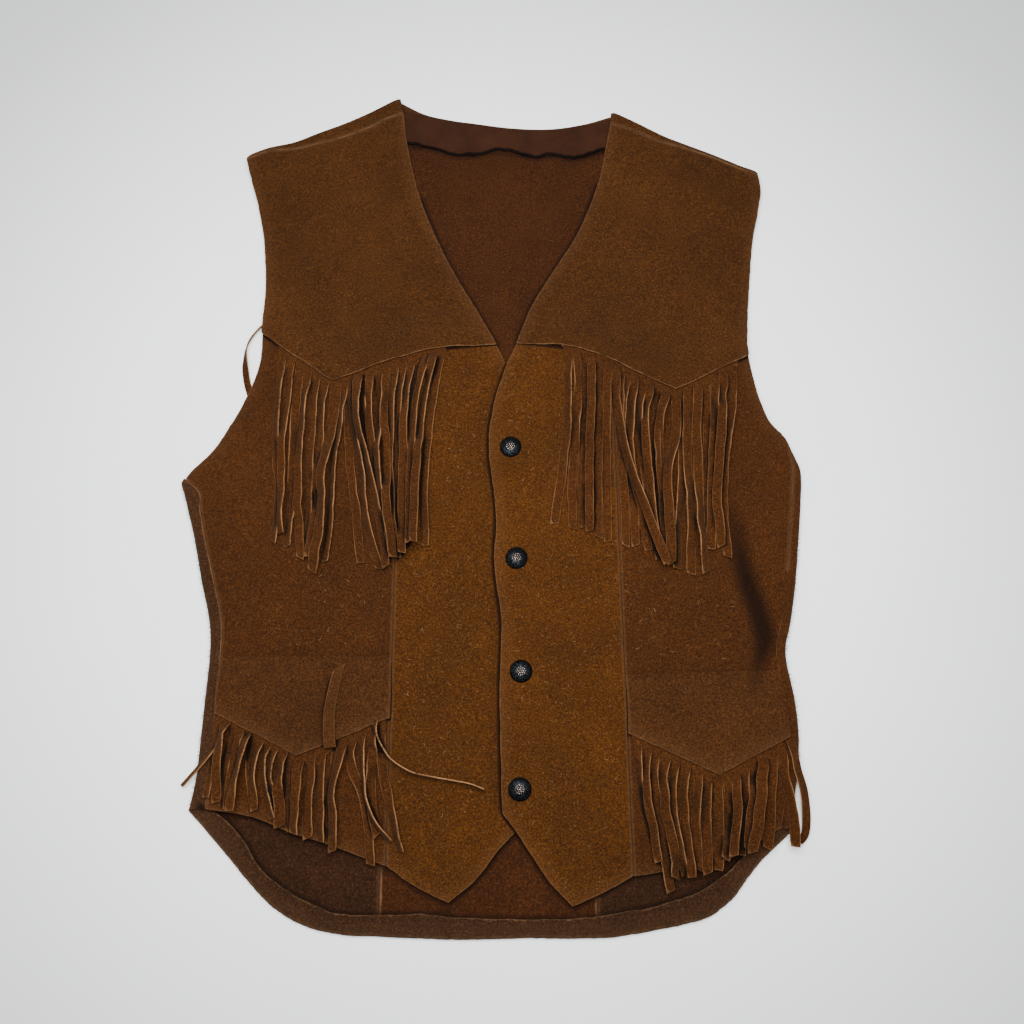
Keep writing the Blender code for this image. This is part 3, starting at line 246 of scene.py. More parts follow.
# Strands, in mm and degrees. Columns: x at the root, at a quarter, half and three quarters of
# the way and at the tip, y of the tip, width, tilt of the upper, second, third and lowest part
# (more than 0 lifts the edge towards the wearer's left), and the layer in which it lies.
RIGHT_YOKE_STRANDS = (
    (-149.0, -150.5, -150.0, -146.0, -147.5, -50, 5.5, 45, 50, 0, 50, 0),
    (-142.5, -144.0, -145.5, -144.0, -142.5, -44, 5.5, 35, 35, 15, 60, 1),
    (-136.5, -137.5, -138.0, -136.5, -138.0, -53, 5.5, 10, -50, -30, 45, 0),
    (-130.5, -132.0, -133.0, -132.0, -128.5, -61, 5.5, 60, 50, 20, 10, 1),
    (-124.5, -125.5, -126.0, -125.0, -126.5, -60, 5.8, 40, 20, 35, 30, 0),
    (-118.0, -119.5, -120.0, -119.5, -123.0, -60, 5.5, 55, 20, 10, 10, 0),
    (-110.0, -111.5, -116.5, -115.5, -120.5, -70, 7.2, 5, 35, 50, 25, 2),
    (-103.5, -106.0, -109.5, -109.5, -112.5, -63, 5.2, 60, 40, 50, 30, 1),
    (-99.5, -100.0, -97.5, -92.0, -88.0, -64, 5.5, -25, -20, 30, -25, 0),
    (-98.5, -97.0, -90.0, -85.5, -75.0, -68, 5.9, 55, 60, 50, 35, 1),
    (-94.5, -93.5, -85.0, -76.5, -70.0, -67, 5.9, 45, 60, 45, 35, 2),
    (-91.0, -90.0, -84.5, -77.0, -70.5, -59, 5.5, 45, 20, 10, 10, 0),
    (-86.5, -85.5, -81.5, -75.5, -67.5, -60, 5.5, 45, 25, 20, 10, 1),
    (-80.5, -79.0, -78.5, -74.5, -67.5, -59, 5.5, 45, 60, 60, 15, 1),
    (-74.0, -75.0, -72.5, -70.5, -65.0, -61, 5.5, -60, -10, 20, -40, 2),
    (-68.5, -70.0, -70.5, -68.5, -62.5, -61, 5.5, 55, 30, 10, 10, 1),
    (-62.5, -65.5, -65.0, -63.0, -60.5, -60, 5.5, 50, 25, 5, 10, 0),
    (-56.0, -60.5, -61.0, -60.5, -59.0, -58, 5.5, 55, 15, 0, 10, 1),
    (-50.0, -56.5, -56.5, -57.5, -56.5, -53, 5.5, 30, 20, 5, 10, 0),
    (-44.5, -52.5, -55.0, -55.5, -54.5, -51, 5.5, 55, 40, 20, 20, 1),
    (-39.5, -47.0, -50.0, -52.0, -51.5, -51, 5.5, 60, 35, 15, 20, 2),
    (-35.0, -41.0, -44.5, -46.0, -44.0, -52, 5.5, 20, 22, 25, 25, 0),
)
LEFT_YOKE_STRANDS = (
    (55.5, 54.5, 53.0, 49.0, 44.0, -37, 5.9, 55, 40, 20, -15, 0),
    (61.5, 61.5, 59.5, 56.5, 56.5, -40, 5.5, -45, 50, -20, 10, 1),
    (67.0, 66.5, 65.0, 63.5, 64.0, -39, 5.5, 20, 15, 15, 30, 0),
    (72.5, 71.0, 69.5, 68.0, 68.0, -42, 5.5, 30, 20, 10, 20, 1),
    (78.0, 76.5, 75.5, 74.5, 74.0, -46, 5.5, -25, 10, 20, 10, 0),
    (83.5, 82.0, 81.0, 80.5, 80.5, -49, 5.5, 35, 30, 10, 15, 1),
    (88.5, 89.5, 95.5, 107.5, 119.5, -65, 5.9, 35, 50, 55, 20, 2),
    (93.0, 91.0, 91.0, 93.0, 92.5, -52, 5.5, 55, 20, 10, 5, 1),
    (98.0, 92.5, 93.0, 98.5, 99.0, -52, 5.5, 55, 30, 5, 10, 0),
    (103.0, 99.0, 97.5, 103.5, 108.0, -55, 5.5, 60, 50, 20, 20, 1),
    (108.5, 104.5, 106.5, 110.5, 114.0, -59, 5.5, 60, 40, -30, 15, 0),
    (114.0, 108.0, 109.5, 111.5, 115.0, -61, 5.5, 60, 30, 55, 35, 1),
    (119.5, 116.5, 116.0, 117.0, 120.0, -65, 5.5, 50, 20, 20, 20, 0),
    (125.0, 118.0, 118.5, 119.0, 120.0, -65, 5.9, 55, -35, 50, 15, 1),
    (130.5, 130.0, 122.5, 122.5, 122.5, -65, 6.2, 10, 55, 30, 10, 1),
    (135.5, 134.0, 133.0, 129.0, 127.0, -68, 6.2, 0, -15, -45, -40, 0),
    (141.0, 138.0, 137.0, 138.0, 136.0, -72, 6.2, 5, -20, -45, -10, 1),
    (147.0, 144.5, 144.0, 144.5, 146.0, -71, 5.9, 15, 35, -45, -40, 2),
    (153.0, 152.0, 151.0, 149.5, 149.0, -54, 5.5, 10, 15, 10, 15, 0),
    (159.5, 157.5, 154.5, 152.0, 150.0, -55, 5.9, 60, 15, 10, 15, 1),
    (166.5, 162.0, 159.0, 155.5, 157.0, -53, 5.9, 55, 20, 25, 30, 2),
    (173.0, 169.5, 163.0, 160.0, 161.0, -60, 5.9, 30, 55, 15, 20, 0),
)
RIGHT_POCKET_STRANDS = (
    (-175.5, -176.5, -177.5, -179.0, -180.5, -217, 4.8, 30, 45, 40, 30, 0),
    (-170.5, -172.5, -174.0, -174.0, -173.5, -220, 5.5, 60, 30, 0, 0, 1),
    (-165.0, -167.0, -169.0, -170.0, -170.0, -223, 5.5, 20, 15, 30, 30, 0),
    (-160.5, -162.5, -163.5, -165.0, -165.5, -224, 5.5, 40, 10, 0, 10, 1),
    (-156.5, -158.0, -160.5, -162.5, -163.5, -225, 5.5, 45, 60, 50, 15, 2),
    (-152.0, -154.0, -153.5, -151.5, -149.5, -225, 4.8, -20, -40, -30, -10, 0),
    (-147.5, -150.0, -151.0, -150.0, -148.5, -225, 4.8, 50, 60, 50, 15, 1),
    (-143.0, -145.0, -144.0, -141.0, -137.0, -230, 4.5, 50, 65, 65, 50, 2),
    (-138.5, -140.0, -140.5, -138.0, -135.5, -226, 4.8, 50, 60, 40, 10, 0),
    (-133.5, -134.5, -134.5, -133.0, -132.5, -235, 6.4, 35, 50, -40, -15, 1),
    (-128.0, -128.5, -128.5, -127.0, -125.0, -238, 5.9, 10, 10, 30, 15, 0),
    (-122.0, -123.0, -123.0, -123.0, -123.0, -239, 5.9, 5, 20, 35, 40, 1),
    (-115.5, -115.0, -115.5, -115.5, -114.5, -242, 6.2, 15, 30, 30, 20, 0),
    (-109.0, -108.5, -108.0, -107.5, -106.5, -244, 5.9, 25, 30, 30, 40, 1),
    (-97.0, -99.5, -101.5, -102.5, -102.0, -243, 5.5, 5, 10, 10, 10, 0),
    (-94.5, -97.5, -100.5, -98.5, -98.5, -250, 5.9, 35, 55, 40, 40, 1),
    (-88.5, -89.0, -80.0, -76.0, -74.5, -258, 5.9, 55, -45, 10, 30, 0),
    (-83.0, -82.0, -80.0, -75.0, -62.5, -244, 4.5, 50, 75, 78, 75, 2),
    (-77.5, -75.5, -76.0, -74.5, -70.0, -240, 5.9, 60, -50, -10, 0, 1),
    (-71.0, -70.0, -66.5, -61.5, -56.0, -250, 5.9, 10, -30, 30, 60, 0),
)
LEFT_POCKET_STRANDS = (
    (96.5, 97.0, 98.5, 103.0, 108.0, -258, 4.8, 55, 50, 50, 50, 0),
    (102.5, 101.5, 101.5, 104.5, 107.5, -256, 5.2, 55, 45, 30, 40, 1),
    (108.5, 106.0, 109.0, 111.5, 114.5, -274, 5.9, 50, -20, -20, -30, 0),
    (115.0, 112.5, 113.5, 117.0, 118.0, -266, 5.9, 55, 35, 35, -50, 1),
    (121.5, 118.0, 118.0, 120.5, 124.0, -264, 5.5, 55, 50, 45, 50, 0),
    (128.0, 125.0, 125.0, 126.5, 127.5, -265, 5.5, 55, 45, 30, 40, 1),
    (134.5, 134.0, 132.0, 132.0, 132.0, -261, 5.5, 35, 55, 20, 20, 0),
    (140.5, 139.5, 138.0, 138.0, 137.5, -263, 6.2, 50, 50, 20, 10, 1),
    (147.0, 146.5, 145.5, 145.0, 144.5, -261, 6.4, 15, 30, 20, 20, 0),
    (153.0, 153.0, 152.5, 151.0, 149.5, -254, 5.5, 20, 15, 35, 40, 0),
    (159.0, 158.5, 158.0, 155.0, 153.5, -252, 5.5, 35, 25, 40, 45, 1),
    (165.0, 164.0, 162.5, 160.0, 159.5, -252, 5.5, 45, 35, 50, 45, 0),
    (171.0, 169.5, 168.0, 165.0, 163.0, -248, 5.5, 20, 15, 10, 20, 0),
    (177.0, 174.5, 172.0, 169.0, 165.5, -250, 6.2, 25, 25, 15, 10, 1),
    (183.0, 182.0, 180.0, 178.5, 176.5, -248, 6.2, 15, 25, 30, 15, 0),
    (188.5, 189.0, 192.0, 194.0, 194.0, -247, 5.9, 25, 45, 35, 20, 1),
)

# Strands that lie their own way, in mm: x, y and height of the middle, width and tilt
FLARED_STRAND = (
    (-174.0, -168.0, 8.0, 4.4, 10), (-174.0, -176.5, 9.0, 4.2, 40), (-176.0, -184.0, 9.6, 4.0, 52),
    (-181.5, -192.0, 9.4, 3.8, 50), (-188.5, -200.0, 7.4, 3.6, 45), (-198.0, -210.0, 4.6, 2.8, 40),
)
LONG_STRAND = (
    (-74.6, -168.0, 6.4, 4.2, 10), (-74.2, -173.5, 8.0, 4.2, 55), (-72.2, -179.5, 8.8, 4.0, 76),
    (-68.0, -187.0, 8.8, 4.0, 78), (-62.5, -194.0, 8.6, 4.0, 76), (-50.5, -201.5, 8.2, 3.8, 66),
    (-37.5, -204.5, 8.0, 3.6, 70), (-21.5, -207.0, 7.8, 3.2, 78), (-12.0, -209.0, 7.8, 3.0, 70),
    (-3.0, -212.5, 7.6, 2.8, 60),
)
FLIPPED_STRAND = (
    (-103.0, -170.0, 7.0, 7.2, 0), (-103.0, -181.0, 7.6, 7.4, 0), (-102.7, -185.6, 8.4, 7.4, 0),
    (-102.6, -186.6, 9.0, 7.4, 0), (-102.8, -185.0, 9.6, 7.4, 2), (-103.6, -176.0, 9.8, 7.4, 7),
    (-103.8, -163.0, 9.7, 7.2, 12), (-102.0, -149.5, 8.9, 7.0, 14), (-99.0, -134.5, 8.2, 6.6, 18),
)
SPREAD_STRAND = (
    (194.0, -178.0, 8.0, 5.2, 0), (197.0, -189.0, 9.2, 5.4, -20), (198.7, -200.0, 8.8, 5.8, -25),
    (202.0, -211.5, 6.8, 6.0, -25), (203.4, -224.5, 4.6, 5.8, -15), (203.4, -234.0, 3.0, 5.2, 5),
    (202.0, -240.5, 2.4, 4.8, 10), (198.5, -244.5, 2.2, 4.4, 10),
)
BACK_STRAND = (
    (-161.5, 114.0, 2.0, 4.4, 20), (-166.0, 111.5, 2.6, 3.4, 66), (-170.5, 106.0, 3.0, 3.2, 72),
    (-174.4, 99.0, 3.4, 3.2, 74), (-176.2, 92.0, 3.6, 3.8, 66), (-176.3, 85.0, 3.4, 4.4, 45),
    (-176.0, 78.0, 2.8, 4.6, 15), (-174.0, 67.0, 2.0, 4.8, 8), (-170.5, 57.0, 1.8, 4.8, 10),
    (-165.5, 47.0, 1.6, 4.6, 10),
)
# Where a painted shadow of the turned-back strand darkens the flap: x, y
FLIPPED_SHADE = (
    (-0.1068, -0.1840), (-0.1076, -0.1760), (-0.1077, -0.1630), (-0.1060, -0.1490), (-0.1034, -0.1385),
)

# Soft creases of the fronts: rows of y, x, height and width
CREASES = (
    ((-0.130, -0.150, 0.0, 0.012), (-0.085, -0.156, 0.0008, 0.014), (-0.030, -0.170, 0.0, 0.014)),
    ((0.110, -0.120, 0.0, 0.012), (0.160, -0.128, 0.0010, 0.013), (0.225, -0.150, 0.0, 0.014)),
    ((0.110, 0.140, 0.0, 0.012), (0.165, 0.150, 0.0010, 0.013), (0.225, 0.170, 0.0, 0.014)),
    ((-0.230, -0.040, 0.0, 0.010), (-0.150, -0.034, 0.0007, 0.012), (-0.060, -0.030, 0.0, 0.012)),
    ((-0.110, 0.192, 0.0, 0.006), (-0.060, 0.192, 0.0014, 0.007), (-0.010, 0.186, 0.0, 0.008)),
)

# Unevenness: height, size of the waves and number of the pattern
FRONT_WAVES = ((0.0007, 0.060, 1.0), (0.0004, 0.024, 2.0), (0.00012, 0.007, 3.0))
SEAM_WAVES = ((0.0006, 0.035, 8.0), (0.0002, 0.006, 9.0))
SIDE_BAND_WAVE = (0.0004, 0.02, 15.0)
BACK_LIFT = 0.0003        # the back lies this far over the floor
BACK_WAVE = 0.00025
BACK_OPEN_WAVE = 0.0012   # more where the neck leaves it uncovered
BACK_LEVEL = 0.02         # next to its rolled edges it lies level

# Seams and rolled edges
INNER_SHARE = 0.46        # share of a side panel's width from its seam to the yoke's point
SEAM_DIP = 0.0004
SEAM_WIDTH = 0.0016
ROLL_TURNS = tuple(k / 14 for k in range(1, 15))
SEAM_RUN = (0.25, 0.5, 0.75, 0.93, 1.0)
# Turned-up hem: past the fold and height of its rounded outer rows, then shares of the band
HEM_SECTION = ((-0.0006, 0.0003), (0.0004, 0.0006), (0.0009, 0.0013), (0.0009, 0.0022), (0.0004, 0.0030))
HEM_SHARES = (0.08, 0.2, 0.35, 0.5, 0.65, 0.8, 0.9, 0.97, 1.0)
HEM_TOP = 0.0034
HEM_SWELL = 0.0011        # the turned hem is fuller in its middle
HEM_WAVE = 0.0006
HEM_EDGE_DROP = 0.0008
HEM_WALL = 0.0009
HEM_FREE_ENDS = ((-0.1905, -0.2210), (0.1905, -0.2320))
# Size to which these are cut: across, along
HEM_CUT = (0.47, 0.012)
BACK_YOKE_CUT = (0.392, 0.29)
ROLL_CUT = 0.03           # what the roll adds to a side of the back
# Facing inside the neck
FACING_DEPTH = 0.026
FACING_CELLS = (0.0016, 0.002)
FACING_CURL = 0.0014      # its cut edge curls up
FACING_CURL_WIDTH = 0.0022
END_EASE = 0.005          # length over which a rolled fold rounds off at its ends

# Fine fibres: places as x and y from and to, how many, and 1 for the left front
LINT_FIELDS = (
    (-0.062, -0.003, -0.240, 0.060, 110, 0), (0.013, 0.085, -0.240, 0.060, 110, 1),
    (-0.170, -0.068, -0.122, -0.070, 26, 0), (0.092, 0.168, -0.130, -0.076, 26, 1),
)
LINT_LENGTH = (0.0010, 0.0034)
LINT_HALF = 0.00009
# Fibres along the folds: mean spacing, length from and to, half thickness
FIBRE_SPACING = 0.00050
FIBRE_LENGTH = (0.0010, 0.0032)
FIBRE_HALF = 0.00015

# Strands
BED_CELL = 0.0007
ACROSS_CELLS = 3
STRAND_STEP = 0.0032
STRIP_CELLS = 5
STRIP_REACH = 0.85
HEADER = 0.0032
SLIT_RISE = 0.007
CUP = 0.02
CURL = 0.10
TILT_SHARE = 0.88
STRAND_SPREAD = 1.10
CREVICE_REACHES = (0.0010, 0.0020, 0.0030)
KINK = 0.0006             # small bends of the strands
KINK_LENGTH = 0.010
SKEW = 0.5                # slant of a strand's cut tip
FLIPPED_SKEW = -1.0
STRAND_WALL = 0.0010

# Laps, flaps and the shadows painted beside them
STRIP_EASE = 0.009        # beyond a strip's ends the lapped edge settles again
STRIP_END = 0.0006
STRIP_INSET = 0.003
STRIP_END_RISE = 0.0026   # towards its ends the strip goes up under the edge
# TOP_EDGE_FAINT keeps the painted shadow at the flap's sewn top edge faint.
TOP_EDGE_FAINT = 0.0019   # keeps the flap's sewn top edge faint
FLAP_TOP_EASE = 0.014
FLAP_TOP_STEP = 0.0003
YOKE_SHADOW_THIN = 4.5
OVERLAP_SHADOW = 0.0006
SHADOW_START = 0.0005
SHADOW_SPREAD = 0.45
LAP_INSIDE = 0.0012
TROUGH_SHARE = 1.45
LEFT_SEAM_LOW = -0.070    # the left side seam shows above this
RIGHT_SIDE_LOW = (-0.178, -0.224)
LEFT_SIDE_LOW = (0.186, -0.233)
TILT_PLACES = (0.04, 0.17, 0.40, 0.64, 0.88, 1.0)

CAP_SIDES = 48
# Snap cap: shares of the radius and of the dome's height, from the middle to the rim
CAP_PROFILE = (
    (0.0, 1.0), (0.12, 0.99), (0.25, 0.96), (0.38, 0.91), (0.50, 0.84), (0.62, 0.75),
    (0.74, 0.62), (0.84, 0.48), (0.90, 0.38), (0.95, 0.30), (0.99, 0.20), (1.0, 0.14),
    (0.99, 0.06), (0.94, 0.0),
)
DOME_ROWS = 8             # rows of the profile that make its dome
# Beads: count, place as a share of the radius, size, flatness, 1 for worn bright
BEADS = (
    (1, 0.0, 0.00075, 0.6, 1), (6, 0.18, 0.00062, 0.6, 1), (11, 0.35, 0.00055, 0.6, 1),
    (16, 0.52, 0.00050, 0.6, 0), (20, 0.68, 0.00044, 0.6, 0), (24, 0.82, 0.00034, 0.6, 0),
)

# Colours
PALE_CUT = (0.1250, 0.0630, 0.0280)
FRONT_EDGE_BROWN = (0.030, 0.012, 0.004)
PALE_STRAND = (0.1650, 0.0780, 0.0310)
PALE_FLECK = (0.1180, 0.0640, 0.0280)
FLAP_EDGE_BROWN = (0.060, 0.027, 0.010)
FACING_EDGE_BROWN = (0.006, 0.004, 0.003)
LOW_INSIDE_BROWN = (0.0165, 0.0058, 0.0021)
YOKE_BROWN = (0.0272, 0.0087, 0.0015)
SIDE_BROWN = (0.0264, 0.0077, 0.0013)
CENTRE_BROWN = (0.0345, 0.0105, 0.0011)
FLAP_BROWN = (0.0270, 0.0087, 0.0019)
WRAP_BROWN = (0.0225, 0.0086, 0.0032)
INSIDE_BROWN = (0.0228, 0.0063, 0.0014)
HEM_BROWN = (0.0178, 0.0069, 0.0027)
STRAND_BROWN = (0.0298, 0.0089, 0.0015)
FACING_BROWN = (0.0225, 0.0080, 0.0038)
METAL_GREY = (0.0090, 0.0102, 0.0112)
METAL_COPPER = (0.160, 0.118, 0.100)
LINT_BROWN = (0.130, 0.072, 0.033)
FIBRE_BROWN = (0.050, 0.024, 0.011)
FLOOR_COLOUR = (0.860, 0.870, 0.880)
ROOM_COLOUR = (0.95, 0.98, 1.0)
ROOM_LIGHT = 0.34

# Light, floor and camera: name, place, size and power of each lamp
LAMPS = (
    ("soft_light_above", (-0.01, 0.0, 0.74), 0.70, 18.5),
    ("soft_light_side", (-1.30, 0.60, 1.10), 1.0, 5.0),
)
FLOOR_HALF = 3.0
CAMERA_PLACE = (0.0150, -0.1960, 0.6727)
CAMERA_TILT = 14.12
CAMERA_LENS = 35.16

# Cells of the cloth
CELL = 0.0030             # plain cells of the panels
FINE_CELL = 0.0022
RIM_STEPS = (0.0002, 0.0005, 0.0010, 0.0017)    # closer cells along every edge
RIM_ROUND = 0.0006        # rounding of the edges
CURVE_STEPS = 12          # points of a smooth line for each given point
FAR = 0.050               # distance given to a place with no such edge near
SMALL_WAVE = 0.0003       # wandering of a cut edge
LONG_WAVE = 0.0005


# Shapes on the flat

def smooth(share):
    """0 to 1 with level ends."""
    share = np.clip(share, 0.0, 1.0)
    return share * share * (3 - 2 * share)


def fall(distance, reach):
    """1 at no distance, 0 at the reach."""
    return 1 - smooth(np.asarray(distance) / reach)


def bell(distance, width):
    """A soft hump, 1 in its middle."""
    return np.exp(-(np.asarray(distance) / width) ** 2)


def ripple(x, y, size, seed=0.0):
    """Smooth noise from -1 to 1, its waves about this size."""
    x, y = np.broadcast_arrays(x, y)
    values = [noise.noise((a, b, seed)) for a, b in zip(x.ravel() / size, y.ravel() / size)]
    return np.reshape(values, x.shape)


def curve(points):
    """A smooth line through the points, as an array of many points."""
    p = np.array(points, float)
    if len(p) < 3:
        return p
    p = np.vstack([2 * p[0] - p[1], p, 2 * p[-1] - p[-2]])
    line = []
    for k in range(1, len(p) - 2):
        for t in np.linspace(0, 1, CURVE_STEPS, endpoint=False):
            line.append(0.5 * (
                2 * p[k] + (p[k + 1] - p[k - 1]) * t
                + (2 * p[k - 1] - 5 * p[k] + 4 * p[k + 1] - p[k + 2]) * t ** 2
                + (3 * p[k] - p[k - 1] - 3 * p[k + 1] + p[k + 2]) * t ** 3
            ))
    return np.vstack([line, p[-2]])


def length_of(line):
    """Length of a line on the flat."""
    return float(np.linalg.norm(np.diff(np.array(line)[:, :2], axis=0), axis=1).sum())


def at(line, shares):
    """Points at these shares of the line's length."""
    line = np.array(line, float)
    steps = np.linalg.norm(np.diff(line[:, :2], axis=0), axis=1)
    run = np.concatenate([[0], np.cumsum(steps)])
    wanted = np.array(shares) * run[-1]
    return np.stack([np.interp(wanted, run, line[:, k]) for k in range(line.shape[1])], 1)


def graded(length, cell=CELL, first=True, last=True):
    """Shares along a length: even cells, with closer ones at its ends."""
    marks = np.linspace(0, length, max(3, round(length / cell)) + 1)
    inner = marks[1:-1]
    inner = inner[(inner > RIM_STEPS[-1] * 1.3) & (inner < length - RIM_STEPS[-1] * 1.3)]
    near = np.array(RIM_STEPS)
    parts = [[0.0], near if first else near[-1:], inner]
    parts += [length - near[::-1] if last else [length - near[-1]], [length]]
    return np.concatenate(parts) / length


def join(*runs):
    """Runs of points end to end, each shared end kept once."""
    return np.concatenate([runs[0]] + [run[1:] for run in runs[1:]])


def wander(line, seed, small=SMALL_WAVE, long=LONG_WAVE):
    """The line with the small unevenness of a cut by hand, its ends kept."""
    line = np.array(line, float)
    ends = smooth(np.minimum(np.linspace(0, 12, len(line)), np.linspace(12, 0, len(line))))
    for axis in (0, 1):
        shift = small * ripple(line[:, 0], line[:, 1], 0.004, seed + axis)
        shift += long * ripple(line[:, 0], line[:, 1], 0.017, seed + 3 + axis)
        line[:, axis] += shift * ends
    return line


def cross_at(line, y):
    """The point at which a rising line reaches height y."""
    return (float(np.interp(y, line[:, 1], line[:, 0])), y)


def edge_y(edge, x):
    """y at x of an edge given by its corners."""
    corners = np.array(sorted(edge))
    return np.interp(x, corners[:, 0], corners[:, 1])


def distance_to(x, y, lines):
    """Distance of each place to the nearest of some lines."""
    near = np.full(np.shape(x), FAR)
    for line in lines:
        points = at(line, np.linspace(0, 1, max(2, int(length_of(line) / 0.0008))))
        for k in range(0, len(points), 40):
            some = points[k:k + 40]
            dx = np.ravel(x)[:, None] - some[None, :, 0]
            dy = np.ravel(y)[:, None] - some[None, :, 1]
            near = np.minimum(near, np.sqrt(dx ** 2 + dy ** 2).min(1).reshape(np.shape(x)))
    return near


def patch(bottom, top, left, right, u, v):
    """Points of a flat surface stretched between four edges, by row and column."""
    u = np.array(u)[None, :, None]
    v = np.array(v)[:, None, None]
    across = (1 - v) * bottom[None] + v * top[None]
    upwards = (1 - u) * left[:, None] + u * right[:, None]
    corners = (
        (1 - u) * (1 - v) * bottom[0] + u * (1 - v) * bottom[-1]
        + (1 - u) * v * top[0] + u * v * top[-1]
    )
    return across + upwards - corners


# Heights

SIDE_LINE = {1: curve(RIGHT_SIDE), -1: curve(LEFT_SIDE)}
RIGHT_SHOULDER_LINE = curve(RIGHT_SHOULDER)
LEFT_SHOULDER_LINE = curve(LEFT_SHOULDER)


def side_at(inwards, y):
    """x of the side fold at y, and the width from the fold to the side seam."""
    rows = SIDE_LINE[inwards]
    return np.interp(y, rows[:, 0], rows[:, 1]), np.interp(y, rows[:, 0], rows[:, 2])


def side_climb(x, y, inwards):
    """How far the front has climbed towards a side fold, 0 to 1."""
    fold, seam = side_at(inwards, y)
    climb = fall((x - fold - inwards * seam) * inwards, SIDE_REACH)
    return climb * fall(y - SIDE_LINE[inwards][-1, 0], ARMPIT_FADE)


def shoulder_climb(x, y):
    """How far the front has climbed towards the shoulder folds, 0 to 1."""
    right, left = RIGHT_SHOULDER_LINE, LEFT_SHOULDER_LINE[::-1]
    seam = np.where(
        np.asarray(x) < 0,
        np.interp(x, right[:, 0], right[:, 1] - right[:, 2]),
        np.interp(x, left[:, 0], left[:, 1] - left[:, 2]),
    )
    return fall(seam - y, SHOULDER_REACH)


def along(x, y, rows):
    """Depth of a soft trough or ridge whose rows give y, x, depth and width."""
    rows = np.array(sorted(rows))
    centre, depth, width = [np.interp(y, rows[:, 0], rows[:, k]) for k in (1, 2, 3)]
    return depth * bell(np.asarray(x) - centre, width)


def trough(x, y):
    """Depth of the soft trough down the left side."""
    return along(x, y, [(down, across, TROUGH_SHARE * depth, TROUGH_WIDTH) for down, across, depth in TROUGH])


def right_height(x, y):
    """Height of the outside of the right front where nothing is lapped under it."""
    sides = side_climb(x, y, 1) + side_climb(x, y, -1)
    height = FRONT_REST + (2 * SIDE_ROLL - FRONT_REST) * sides
    height = height + (2 * SHOULDER_ROLL - FRONT_REST) * shoulder_climb(x, y)
    return height - trough(x, y)


def left_height(x, y):
    """The same for the left front, raised along the overlap and let down between snaps."""
    near = np.max([bell(np.asarray(y) - snap_y, SAG_LENGTH) for _, snap_y in SNAPS], axis=0)
    lift = OVERLAP_RAISE - OVERLAP_SAG * (1 - near)
    lift = lift * fall(np.asarray(x) - OVERLAP_EDGE, OVERLAP_EASE)
    lift = lift * fall(np.asarray(y) - OVERLAP_TOP[0], OVERLAP_TOP[1] - OVERLAP_TOP[0])
    lift = lift * fall(OVERLAP_BOTTOM[0] - np.asarray(y), OVERLAP_BOTTOM[0] - OVERLAP_BOTTOM[1])
    return right_height(x, y) + lift


def relief(x, y):
    """The soft creases and the general unevenness of the fronts."""
    soft = sum(high * ripple(x, y, size, seed) for high, size, seed in FRONT_WAVES)
    for rows in CREASES:
        soft += along(x, y, rows)
    return soft


def lapped(height, edge, lap, resting, ends):
    """Height of a piece that rests on a panel and is raised over a fringe strip at its edge."""
    def over(x, y):
        past = np.asarray(y) - edge_y(edge, x) - lap - LAP_MARGIN
        beside = np.maximum(ends[0] - x, x - ends[1])
        high = FLAP_RAISE + (FRINGE_RAISE - FLAP_RAISE) * fall(beside, STRIP_EASE)
        return height(x, y) + resting + (high - resting) * fall(past, LAP_EASE)
    return over


# Cloth

def cloth(name, flat, height, finish, rim, wall=SUEDE, pale=(), worn=(), seams=(),
          keep=None, faces_down=False, rounded=True, cut=None, bare=None, inside=None):
    """A panel: its flat points by row and column, lifted to their heights and given a wall.

    Each vertex carries its distance from the pale cut edges, worn edges and seams, from the
    edges of the pieces that lie over it, more than 0 where it is bare, which sets a painted shadow
    beside them, and the trough's depth, which sets painted shade in the trough.
    """
    x, y = flat[..., 0], flat[..., 1]
    z = flat[..., 2] if flat.shape[2] > 2 else height(x, y) + 0 * x
    marks = {
        "pale": distance_to(x, y, pale), "worn": distance_to(x, y, worn),
        "seam": distance_to(x, y, seams), "bare": bare(x, y) if bare else 0 * x + FAR,
        "trough_shade_depth": 0 * x if faces_down else trough(x, y),
    }
    if rounded:
        edge = np.minimum(np.minimum(marks["pale"], marks["worn"]), marks["seam"])
        inner = np.clip(1 - edge / RIM_ROUND, 0, 1)
        drop = RIM_ROUND * (1 - np.sqrt(1 - inner ** 2)) * 0.8
        z = z + drop if faces_down else z - drop
        dip = SEAM_DIP * bell(marks["seam"], SEAM_WIDTH)
        z = z + dip if faces_down else z - dip
    rows, columns = x.shape
    bm = bmesh.new()
    layers = {key: bm.verts.layers.float.new(key) for key in marks}
    bmesh.ops.create_grid(bm, x_segments=columns - 1, y_segments=rows - 1, size=1)
    cell = {v: (round((v.co.x + 1) / 2 * (columns - 1)), round((v.co.y + 1) / 2 * (rows - 1)))
            for v in bm.verts}
    if keep is not None:
        gone = [f for f in bm.faces if not keep(*min(cell[v] for v in f.verts))]
        bmesh.ops.delete(bm, geom=gone, context="FACES")
    for v in bm.verts:
        column, row = cell[v]
        v.co = (x[row, column], y[row, column], z[row, column])
        for key, layer in layers.items():
            v[layer] = marks[key][row, column] * 1000
    bm.normal_update()
    tilt = sum(f.normal.z for f in bm.faces[:columns // 2])
    if (tilt < 0) != faces_down:
        bmesh.ops.reverse_faces(bm, faces=bm.faces[:])
    for f in bm.faces:
        f.smooth = True
    thing = finished(name + "_cloth", bm, finish, rim, inside or finish)
    thickness = thing.modifiers.new("wall", "SOLIDIFY")
    thickness.thickness = wall
    thickness.offset = -1
    thickness.material_offset = 2
    thickness.material_offset_rim = 1
    dress(thing, name)
    cut or (np.ptp(x), np.ptp(y))
    return thing


